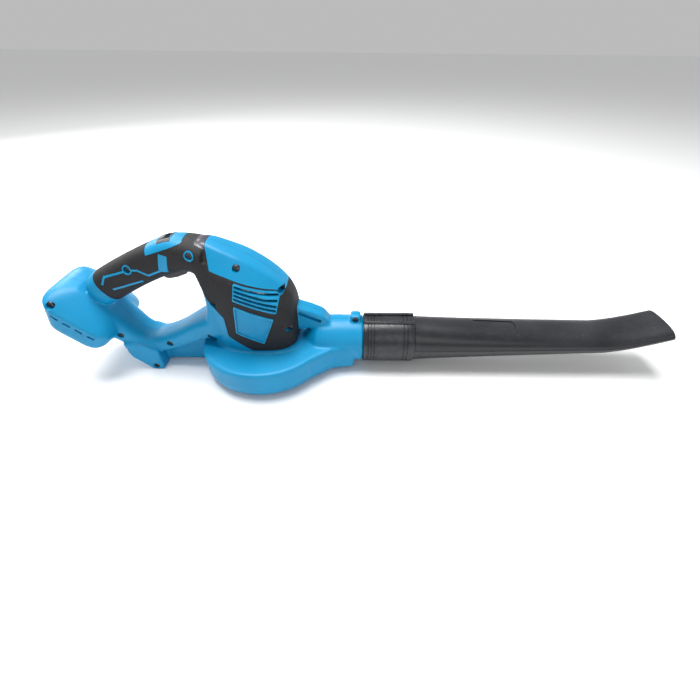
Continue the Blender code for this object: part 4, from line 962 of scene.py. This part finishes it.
# ---------------------------------------------------------------- nozzle
def nozzle_cuff(paints):
    end = CUFF_START + CUFF_LENGTH
    outside = [(CUFF_RADIUS - 1.0, end), (CUFF_RADIUS - 0.3, end - 0.3), (CUFF_RADIUS, end - 1.0)]
    for x in reversed(CUFF_GROOVES):
        half = CUFF_GROOVE_WIDTH / 2
        floor = CUFF_RADIUS - CUFF_GROOVE_DEPTH
        outside += [(CUFF_RADIUS, x + half), (floor, x + half - 0.3)]
        outside += [(floor, x - half + 0.3), (CUFF_RADIUS, x - half)]
    outside += [(CUFF_RADIUS, CUFF_START + 1.0), (CUFF_RADIUS - 0.3, CUFF_START + 0.3)]
    outside.append((CUFF_RADIUS - 1.0, CUFF_START))
    inside = [
        (CUFF_BORE, CUFF_START),
        (CUFF_BORE, CUFF_STOP),
        (CUFF_LIP, CUFF_STOP),
        (CUFF_LIP, CUFF_STOP + STOP_THICKNESS),
        (CUFF_SOCKET, CUFF_STOP + STOP_THICKNESS),
        (CUFF_SOCKET, end),
    ]
    cuff = turned(outside + inside, 120, "X", (0, 0, DUCT_Z))
    root, crest = DUCT_Z + CUFF_RADIUS - 2.4, DUCT_Z + CUFF_RADIUS + RAIL_CREST
    for y in CUFF_RAILS:
        low, high = (CUFF_START + 0.5, y - RAIL_HALF_WIDTH, root), (end - 0.5, y + RAIL_HALF_WIDTH, crest)
        cuff = join(cuff, box(low, high, rounding=0.6))
    reach = SPIGOT_RADIUS + LUG_HEIGHT + GAP
    ends = ((LUG_START - GAP, 0, DUCT_Z), (LUG_END + GAP, 0, DUCT_Z))
    half = SPIGOT_RADIUS * math.sin(math.radians(LUG_ANGLE / 2)) + 2 * GAP
    centre = Matrix.Translation((0, 0, DUCT_Z)) @ Matrix.Rotation(math.radians(-CUFF_TWIST), 4, "X")
    disc = cylinder((CUFF_START - 1, 0, DUCT_Z), (LUG_START + 1, 0, DUCT_Z), reach, 64)
    entry = common(box((CUFF_START - 1, -30, -half), (LUG_START + 1, 30, half), centre), disc)
    cuff = cut(cuff, tube(*ends, reach, CUFF_BORE - 2.0), entry)
    finish_piece(cuff, "nozzle_collar", "nozzle_cuff", paints["nozzle"], 30)


def tube_section(x, z, tilt, half_width, half_height, power, ridge):
    """A section of the nozzle, with a fine moulding line at the middle of each side."""
    lean = math.radians(tilt)
    points = []
    for i in range(TUBE_POINTS):
        angle = 2 * math.pi * i / TUBE_POINTS
        proud = ridge if i % (TUBE_POINTS // 2) == 0 else 0.0
        y = (half_width + proud) * powered(math.cos(angle), power)
        height = half_height * powered(math.sin(angle), power)
        points.append((x - height * math.sin(lean), y, z + height * math.cos(lean)))
    return points


def tube_form(inset, over=0.0):
    ridge = 0.0 if inset else SEAM_RIDGE
    neck = (DUCT_Z, 0, NECK_RADIUS - inset, NECK_RADIUS - inset, 2.0, 0.0)
    rings = [tube_section(NECK_START - over, *neck), tube_section(TUBE_START, *neck)]
    for i in range(TUBE_STATIONS + 1):
        share = i / TUBE_STATIONS
        along = share * NOZZLE_LENGTH
        kick = max(0.0, along - (NOZZLE_LENGTH - KICK_LENGTH)) / KICK_LENGTH
        half_width = blended(NOZZLE_RADIUS, MOUTH_HALF_WIDTH, share) - inset
        half_height = blended(NOZZLE_RADIUS - 0.6, MOUTH_HALF_HEIGHT, share**0.8) - inset
        if i == 0 and inset:
            continue
        x = TUBE_START + along + (over if i == TUBE_STATIONS else 0.0)
        z = DUCT_Z + TUBE_RISE * share + MOUTH_RISE * kick**1.5
        rings.append(tube_section(x, z, KICK_TILT * kick, half_width, half_height, 2.0 + 0.5 * share, ridge))
    return loft(rings)


def nozzle_tube(paints):
    nozzle = cut(tube_form(0.0), tube_form(NOZZLE_WALL, 1.0))
    (x1, y1), (x2, y2) = PLATE_RECESS
    outline = rounded_outline([(x1, y1), (x2, y1), (x2, y2), (x1, y2)], PLATE_CORNER)
    bm = bmesh.new()
    face = bm.faces.new([bm.verts.new((x, y, 0.0)) for x, y in outline])
    drawn = bmesh.ops.extrude_face_region(bm, geom=[face])
    moved = [item for item in drawn["geom"] if isinstance(item, bmesh.types.BMVert)]
    bmesh.ops.translate(bm, vec=(0, 0, FAR), verts=moved)
    plate = cut(object_from(bm, "plate"), tube_form(PLATE_DEPTH))
    nozzle = cut(nozzle, plate)
    finish_piece(nozzle, "nozzle_body", "nozzle_tube", paints["nozzle"], 32)


# ---------------------------------------------------------------- small pieces
SOFTENED = {
    # CAD node: new name, voxel, smoothing passes
    "trigger": ("trigger_lever", 0.45, 5),
    "speed_slider": ("slider_knob", 0.3, 3),
    "terminal_block": ("terminal_carrier", 0.45, 2),
    "inlet_grille": ("intake_grille", 0.45, 2),
    "switch_body": ("switch_case", 0.5, 2),
}


def softened(paints):
    """Small mouldings keep their CAD shape, with their edges rounded."""
    for node, (name, voxel, passes) in SOFTENED.items():
        bm = bmesh.new()
        bm.from_mesh(NODES[node].data)
        bmesh.ops.remove_doubles(bm, verts=bm.verts, dist=1e-6)
        bmesh.ops.scale(bm, vec=(1 / MM,) * 3, verts=bm.verts)
        piece = object_from(bm, name)
        remesh = piece.modifiers.new("Skin", "REMESH")
        remesh.mode = "VOXEL"
        remesh.voxel_size = voxel * MM
        smooth = piece.modifiers.new("Edges", "SMOOTH")
        smooth.factor = 0.5
        smooth.iterations = passes
        slot = slot_of(node)
        finish_piece(bake(piece), name, node, paints[slot], 60)


def slot_of(node):
    return NODES[node].data.materials[0].name.split(".")[0]


def paint_cad_nodes(paints):
    for node, obj in NODES.items():
        if not obj.hide_render:
            obj.data.materials[0] = paints[slot_of(node)]


# ---------------------------------------------------------------- shader node groups
def new_group(name, inputs, outputs):
    group = bpy.data.node_groups.new(name, "ShaderNodeTree")
    for kind, label, value in inputs:
        socket = group.interface.new_socket(name=label, in_out="INPUT", socket_type=kind)
        if value is not None:
            socket.default_value = value
    for label in outputs:
        group.interface.new_socket(name=label, in_out="OUTPUT", socket_type="NodeSocketFloat")
    return group


class Graph:
    """Short calls for adding and linking the nodes of one tree."""

    def __init__(self, tree):
        self.tree = tree

    def node(self, kind, values=None, **settings):
        made = self.tree.nodes.new(kind)
        for name, value in settings.items():
            setattr(made, name, value)
        for label, value in (values or {}).items():
            self.feed(made.inputs[label], value)
        return made

    def feed(self, socket, value):
        if isinstance(value, bpy.types.NodeSocket):
            self.tree.links.new(value, socket)
        else:
            socket.default_value = value

    def math(self, operation, *values, clamp=False):
        made = self.node("ShaderNodeMath", operation=operation, use_clamp=clamp)
        for socket, value in zip(made.inputs, values):
            self.feed(socket, value)
        return made.outputs[0]

    def noise(self, vector, scale, detail=2.0, roughness=0.5):
        values = {"Vector": vector, "Scale": scale, "Detail": detail, "Roughness": roughness}
        return self.node("ShaderNodeTexNoise", values).outputs["Fac"]

    def ramp(self, value, low, high):
        values = {"Value": value, "From Min": low, "From Max": high}
        return self.node("ShaderNodeMapRange", values, clamp=True).outputs[0]

    def mix(self, share, first, second):
        made = self.node("ShaderNodeMix", data_type="RGBA")
        self.feed(made.inputs[0], share)
        self.feed(made.inputs[6], first)
        self.feed(made.inputs[7], second)
        return made.outputs[2]


def grain_group():
    """Fine moulded texture: a height, and a slow change of tone."""
    floats = (("NodeSocketFloat", "Scale", 2600.0), ("NodeSocketFloat", "Patches", 22.0))
    group = new_group("Moulded grain", (("NodeSocketVector", "Vector", None), *floats), ("Height", "Tone"))
    g = Graph(group)
    inlet, outlet = g.node("NodeGroupInput"), g.node("NodeGroupOutput")
    fine = g.noise(inlet.outputs["Vector"], inlet.outputs["Scale"], 1.0)
    coarse = g.noise(inlet.outputs["Vector"], g.math("MULTIPLY", inlet.outputs["Scale"], 0.23), 2.0)
    g.feed(outlet.inputs["Height"], g.math("ADD", fine, g.math("MULTIPLY", coarse, 0.6)))
    patches = g.noise(inlet.outputs["Vector"], inlet.outputs["Patches"], 3.0)
    g.feed(outlet.inputs["Tone"], g.ramp(patches, 0.3, 0.7))
    return group


def rub_group():
    """Edges rubbed by handling, and hairline scuffs across the faces."""
    inputs = (
        ("NodeSocketVector", "Vector", None),
        ("NodeSocketFloat", "Edges", 1.0),
        ("NodeSocketFloat", "Scuffs", 1.0),
    )
    group = new_group("Handling wear", inputs, ("Rub", "Scuff"))
    g = Graph(group)
    inlet, outlet = g.node("NodeGroupInput"), g.node("NodeGroupOutput")
    vector = inlet.outputs["Vector"]
    sharp = g.ramp(g.node("ShaderNodeNewGeometry").outputs["Pointiness"], 0.52, 0.6)
    broken = g.ramp(g.noise(vector, 160.0, 4.0, 0.7), 0.42, 0.62)
    worn = g.math("MULTIPLY", g.math("MULTIPLY", sharp, broken), inlet.outputs["Edges"], clamp=True)
    g.feed(outlet.inputs["Rub"], worn)
    stretched = g.node("ShaderNodeMapping", {"Vector": vector, "Scale": (60.0, 900.0, 900.0)})
    lines = g.ramp(g.noise(stretched.outputs[0], 1.0, 1.0), 0.66, 0.72)
    places = g.ramp(g.noise(vector, 34.0, 1.0), 0.52, 0.62)
    scuffs = g.math("MULTIPLY", lines, places)
    g.feed(outlet.inputs["Scuff"], g.math("MULTIPLY", scuffs, inlet.outputs["Scuffs"]))
    return group


def dust_group():
    """Dust that settles on what faces up, in loose drifts and specks."""
    inputs = (("NodeSocketVector", "Vector", None), ("NodeSocketFloat", "Amount", 0.3))
    group = new_group("Settled dust", inputs, ("Dust",))
    g = Graph(group)
    inlet, outlet = g.node("NodeGroupInput"), g.node("NodeGroupOutput")
    normal = g.node("ShaderNodeSeparateXYZ", {"Vector": g.node("ShaderNodeNewGeometry").outputs["Normal"]})
    upward = g.ramp(normal.outputs["Z"], 0.1, 0.95)
    drift = g.ramp(g.noise(inlet.outputs["Vector"], 26.0, 4.0, 0.6), 0.4, 0.75)
    specks = g.ramp(g.noise(inlet.outputs["Vector"], 900.0, 0.0), 0.72, 0.76)
    settled = g.math("ADD", g.math("MULTIPLY", drift, 0.5), specks)
    lying = g.math("MULTIPLY", upward, settled)
    g.feed(outlet.inputs["Dust"], g.math("MULTIPLY", lying, inlet.outputs["Amount"]))
    return group


GRAIN, RUB, DUST = grain_group(), rub_group(), dust_group()
# the glossy cap on the rubber, whose lighter colour is a painted sheen, in metres
CAP_LEAN = 0.35
CAP_REAR = 0.0025
CAP_FRONT = -0.024
CAP_SLOPE = 0.35
CAP_LOW = 0.1185
CAP_EDGE = 0.0004
DUST_COLOUR = (0.42, 0.44, 0.46, 1.0)


class Paint:
    """One material: a plain shader with the shared groups already reading the piece's own coordinates."""

    def __init__(self, name, **constants):
        self.material = bpy.data.materials.new(name)
        self.material.use_nodes = True
        self.graph = Graph(self.material.node_tree)
        self.shader = self.material.node_tree.nodes["Principled BSDF"]
        self.place = self.graph.node("ShaderNodeTexCoord").outputs["Object"]
        for label, value in constants.items():
            self.shader.inputs[label.replace("_", " ")].default_value = value

    def group(self, tree, **values):
        made = self.graph.node("ShaderNodeGroup", node_tree=tree)
        self.graph.feed(made.inputs["Vector"], self.place)
        for label, value in values.items():
            made.inputs[label].default_value = value
        return made.outputs

    def bump(self, height, strength, distance):
        values = {"Height": height, "Strength": strength, "Distance": distance}
        bump = self.graph.node("ShaderNodeBump", values)
        self.graph.feed(self.shader.inputs["Normal"], bump.outputs[0])

    def colour(self, value):
        self.graph.feed(self.shader.inputs["Base Color"], value)

    def roughness(self, value):
        self.graph.feed(self.shader.inputs["Roughness"], value)


# ---------------------------------------------------------------- finishes
def moulded(name, deep, bright, rub_colour, rough, grain_scale, grain_depth, dust, **constants):
    """A moulded plastic: two close tones, fine grain, rubbed edges, scuffs and a little dust."""
    paint = Paint(name, **constants)
    g = paint.graph
    grain = paint.group(GRAIN, Scale=grain_scale)
    wear = paint.group(RUB, Edges=1.0, Scuffs=1.0)
    settled = paint.group(DUST, Amount=dust)["Dust"]
    tone = g.mix(grain["Tone"], (*deep, 1.0), (*bright, 1.0))
    tone = g.mix(g.math("MULTIPLY", wear["Rub"], 0.55), tone, (*rub_colour, 1.0))
    tone = g.mix(g.math("MULTIPLY", wear["Scuff"], 0.3), tone, (*rub_colour, 1.0))
    paint.colour(g.mix(settled, tone, DUST_COLOUR))
    varied = g.math("ADD", rough - 0.05, g.math("MULTIPLY", grain["Tone"], 0.1))
    varied = g.math("ADD", varied, g.math("MULTIPLY", settled, 0.35))
    paint.roughness(g.math("SUBTRACT", varied, g.math("MULTIPLY", wear["Rub"], 0.12), clamp=True))
    paint.bump(grain["Height"], 0.35, grain_depth)
    return paint


def speckled_rubber():
    """The soft grip: a pebbled black skin with grey flecks, and a glossy cap in front of the slider whose
    lighter grey-purple tone is a painted sheen.
    """
    paint = Paint("speckled_rubber", IOR=1.5)
    g = paint.graph
    cells = g.node("ShaderNodeTexVoronoi", {"Vector": paint.place, "Scale": 1150.0}, feature="F1")
    pebble = g.ramp(cells.outputs["Distance"], 0.05, 0.75)
    fleck = g.ramp(g.noise(paint.place, 1500.0, 2.0), 0.6, 0.68)
    wear = paint.group(RUB, Edges=0.8, Scuffs=0.7)
    settled = paint.group(DUST, Amount=0.06)["Dust"]
    axes = g.node("ShaderNodeSeparateXYZ", {"Vector": paint.place}).outputs
    leaning = g.math("ADD", axes["X"], g.math("MULTIPLY", axes["Z"], CAP_LEAN))
    rear = g.ramp(leaning, CAP_REAR, CAP_REAR + CAP_EDGE)
    front = g.ramp(axes["X"], CAP_FRONT, CAP_FRONT - CAP_EDGE)
    slope = g.math("ADD", axes["Z"], g.math("MULTIPLY", axes["X"], CAP_SLOPE))
    above = g.ramp(slope, CAP_LOW, CAP_LOW + CAP_EDGE)
    # mask of the glossy cap: it gives the cap its real gloss and smoothness, and also marks where the painted
    # sheen goes
    cap_gloss_and_sheen = g.math("MULTIPLY", g.math("MULTIPLY", rear, front), above)
    dark = g.mix(g.math("MULTIPLY", fleck, 0.5), (0.0035, 0.003, 0.0045, 1.0), (0.035, 0.033, 0.04, 1.0))
    dark = g.mix(g.math("MULTIPLY", wear["Rub"], 0.35), dark, (0.05, 0.048, 0.055, 1.0))
    # painted sheen: the cap's lighter grey-purple colour stands in for the reflection on the glossy black cap
    cap_painted_sheen_tone = g.mix(cap_gloss_and_sheen, dark, (0.05, 0.044, 0.062, 1.0))
    paint.colour(g.mix(settled, cap_painted_sheen_tone, DUST_COLOUR))
    matt = g.math("SUBTRACT", 0.72, g.math("MULTIPLY", fleck, 0.12))
    paint.roughness(g.math("SUBTRACT", matt, g.math("MULTIPLY", cap_gloss_and_sheen, 0.42)))
    height = g.math("MULTIPLY", pebble, g.math("SUBTRACT", 1.0, cap_gloss_and_sheen))
    paint.bump(height, 0.6, 0.00022)
    return paint


def worked_metal(name, deep, bright, rough, brushed):
    """Bare metal with drawn lines, tarnish in patches and bright rubbed edges."""
    paint = Paint(name, Metallic=1.0)
    g = paint.graph
    wear = paint.group(RUB, Edges=1.0, Scuffs=0.0)
    lined = g.node("ShaderNodeMapping", {"Vector": paint.place, "Scale": brushed})
    lines = g.noise(lined.outputs[0], 1.0, 3.0)
    patches = g.ramp(g.noise(paint.place, 140.0, 4.0), 0.35, 0.7)
    tone = g.mix(patches, (*deep, 1.0), (*bright, 1.0))
    paint.colour(g.mix(wear["Rub"], tone, (*(min(1.0, c * 1.25) for c in bright), 1.0)))
    paint.roughness(g.math("ADD", rough, g.math("MULTIPLY", patches, 0.14)))
    paint.bump(lines, 0.2, 0.00005)
    return paint


def circuit_board():
    """Solder mask with copper tracks under it and a pad here and there."""
    paint = Paint("circuit_board", IOR=1.5)
    g = paint.graph
    wave = g.node("ShaderNodeTexWave", {"Vector": paint.place, "Scale": 240.0, "Distortion": 1.5})
    tracks = g.ramp(wave.outputs["Fac"], 0.55, 0.65)
    cells = g.node("ShaderNodeTexVoronoi", {"Vector": paint.place, "Scale": 300.0})
    pads = g.ramp(cells.outputs["Distance"], 0.18, 0.15)
    mask = g.mix(tracks, (0.008, 0.10, 0.035, 1.0), (0.02, 0.19, 0.07, 1.0))
    paint.colour(g.mix(pads, mask, (0.62, 0.6, 0.55, 1.0)))
    paint.roughness(g.math("ADD", 0.28, g.math("MULTIPLY", pads, 0.2)))
    paint.bump(g.math("ADD", tracks, pads), 0.4, 0.00005)
    return paint


# slot: name, deep tone, bright tone, rubbed tone, roughness, grain scale, grain depth, dust
MOULDED = {
    "teal_plastic": (
        ("teal_shell", (0.0, 0.225, 0.44), (0.0, 0.262, 0.51), (0.05, 0.40, 0.62)),
        (0.4, 2300.0, 0.00006, 0.06),
    ),
    "nozzle": (
        ("slate_nozzle", (0.0065, 0.007, 0.010), (0.010, 0.011, 0.015), (0.05, 0.055, 0.065)),
        (0.34, 1700.0, 0.00005, 0.06),
    ),
    "grey_plastic": (
        ("slate_plastic", (0.04, 0.044, 0.055), (0.055, 0.06, 0.075), (0.16, 0.17, 0.19)),
        (0.42, 2400.0, 0.00005, 0.2),
    ),
    "dark_plastic": (
        ("black_plastic", (0.012, 0.012, 0.016), (0.022, 0.022, 0.028), (0.1, 0.1, 0.11)),
        (0.45, 2600.0, 0.00005, 0.2),
    ),
    "carbon": (
        ("carbon_block", (0.03, 0.03, 0.032), (0.055, 0.055, 0.06), (0.12, 0.12, 0.12)),
        (0.6, 3000.0, 0.00008, 0.1),
    ),
    "white_nylon": (
        ("white_nylon_cap", (0.6, 0.6, 0.56), (0.74, 0.73, 0.68), (0.85, 0.85, 0.82)),
        (0.45, 2400.0, 0.00004, 0.15),
    ),
    "red_cable": (
        ("red_insulation", (0.42, 0.012, 0.012), (0.55, 0.02, 0.018), (0.6, 0.15, 0.13)),
        (0.4, 2600.0, 0.00003, 0.1),
    ),
}
TEAL_SHEEN = 0.3  # the teal shells shine less than the other plastics
# slot: name, deep tone, bright tone, roughness, how the drawn lines are stretched
METALS = {
    "steel": ("zinc_steel", (0.42, 0.43, 0.46), (0.62, 0.63, 0.66), 0.26, (700.0, 700.0, 60.0)),
    "black_screw": ("blackened_steel", (0.05, 0.05, 0.055), (0.1, 0.1, 0.11), 0.4, (700.0, 60.0, 700.0)),
    "copper": ("enamelled_copper", (0.48, 0.17, 0.07), (0.72, 0.3, 0.14), 0.24, (90.0, 90.0, 2400.0)),
    "brass": ("brass_contact", (0.52, 0.38, 0.15), (0.76, 0.58, 0.27), 0.22, (80.0, 900.0, 900.0)),
}


def finishes():
    """Every slot of the frame with its material."""
    made = {}
    for slot, (tones, surface) in MOULDED.items():
        constants = {"Specular_IOR_Level": TEAL_SHEEN} if slot == "teal_plastic" else {}
        made[slot] = moulded(*tones, *surface, **constants)
    made["black_rubber"] = speckled_rubber()
    for slot, values in METALS.items():
        made[slot] = worked_metal(*values)
    made["board_green"] = circuit_board()
    return {slot: paint.material for slot, paint in made.items()}


# ---------------------------------------------------------------- camera, floor and light
CAMERA_PLACE = (88.0, -297.08, 265.72)
CAMERA_TILT = 49.3
CAMERA_ROLL = 0.6
CAMERA_LENS = 18.57
CAMERA_SENSOR = 36.0
# metres
FLOOR_SIZE = 24.0
LIGHT_AIM = (0.08, 0.0, 0.06)
# place, width and watts of each light
SOFTBOXES = {
    "overhead": ((-0.15, 0.25, 1.5), 1.0, 34.0),
    "front_fill": ((0.5, -1.3, 0.9), 0.8, 2.5),
    "rear_rim": ((-0.9, 0.9, 0.7), 0.6, 6.0),
}
WORLD_STRENGTH = 0.5
WHITE = (1.0, 1.0, 1.0)


def camera():
    data = bpy.data.cameras.new("camera")
    data.lens = CAMERA_LENS
    data.sensor_width = CAMERA_SENSOR
    data.clip_start = 0.01
    obj = bpy.data.objects.new("camera", data)
    bpy.context.scene.collection.objects.link(obj)
    tilt = Matrix.Rotation(math.radians(CAMERA_TILT), 4, "X")
    roll = Matrix.Rotation(math.radians(CAMERA_ROLL), 4, "Z")
    obj.matrix_world = Matrix.Translation(Vector(CAMERA_PLACE) * MM) @ tilt @ roll
    bpy.context.scene.camera = obj


def softbox(name, place, size, energy):
    data = bpy.data.lights.new(name, "AREA")
    data.shape = "DISK"
    data.size = size
    data.energy = energy
    obj = bpy.data.objects.new(name, data)
    obj.location = place
    obj.rotation_euler = (Vector(LIGHT_AIM) - Vector(place)).to_track_quat("-Z", "Y").to_euler()
    bpy.context.scene.collection.objects.link(obj)


def studio():
    """A pale floor under a large overhead light, with a low fill in front."""
    bm = bmesh.new()
    bmesh.ops.create_grid(bm, x_segments=1, y_segments=1, size=FLOOR_SIZE / MM / 2)
    floor = object_from(bm, "floor")
    paint = bpy.data.materials.new("pale_floor")
    paint.use_nodes = True
    shader = paint.node_tree.nodes["Principled BSDF"]
    shader.inputs["Base Color"].default_value = (0.93, 0.935, 0.94, 1.0)
    shader.inputs["Roughness"].default_value = 0.75
    floor.data.materials.append(paint)
    world = bpy.data.worlds.new("studio")
    world.use_nodes = True
    world.node_tree.nodes["Background"].inputs["Color"].default_value = (*WHITE, 1.0)
    world.node_tree.nodes["Background"].inputs["Strength"].default_value = WORLD_STRENGTH
    bpy.context.scene.world = world
    for name, (place, size, energy) in SOFTBOXES.items():
        softbox(name, place, size, energy)
    bpy.context.scene.view_settings.view_transform = "Standard"


def main():
    camera()
    studio()
    paints = finishes()
    housing_and_overmoulds(paints)
    vent_grilles(paints)
    badge_panels(paints)
    slider_bezel(paints)
    screws(paints)
    nozzle_cuff(paints)
    nozzle_tube(paints)
    softened(paints)
    paint_cad_nodes(paints)


main()
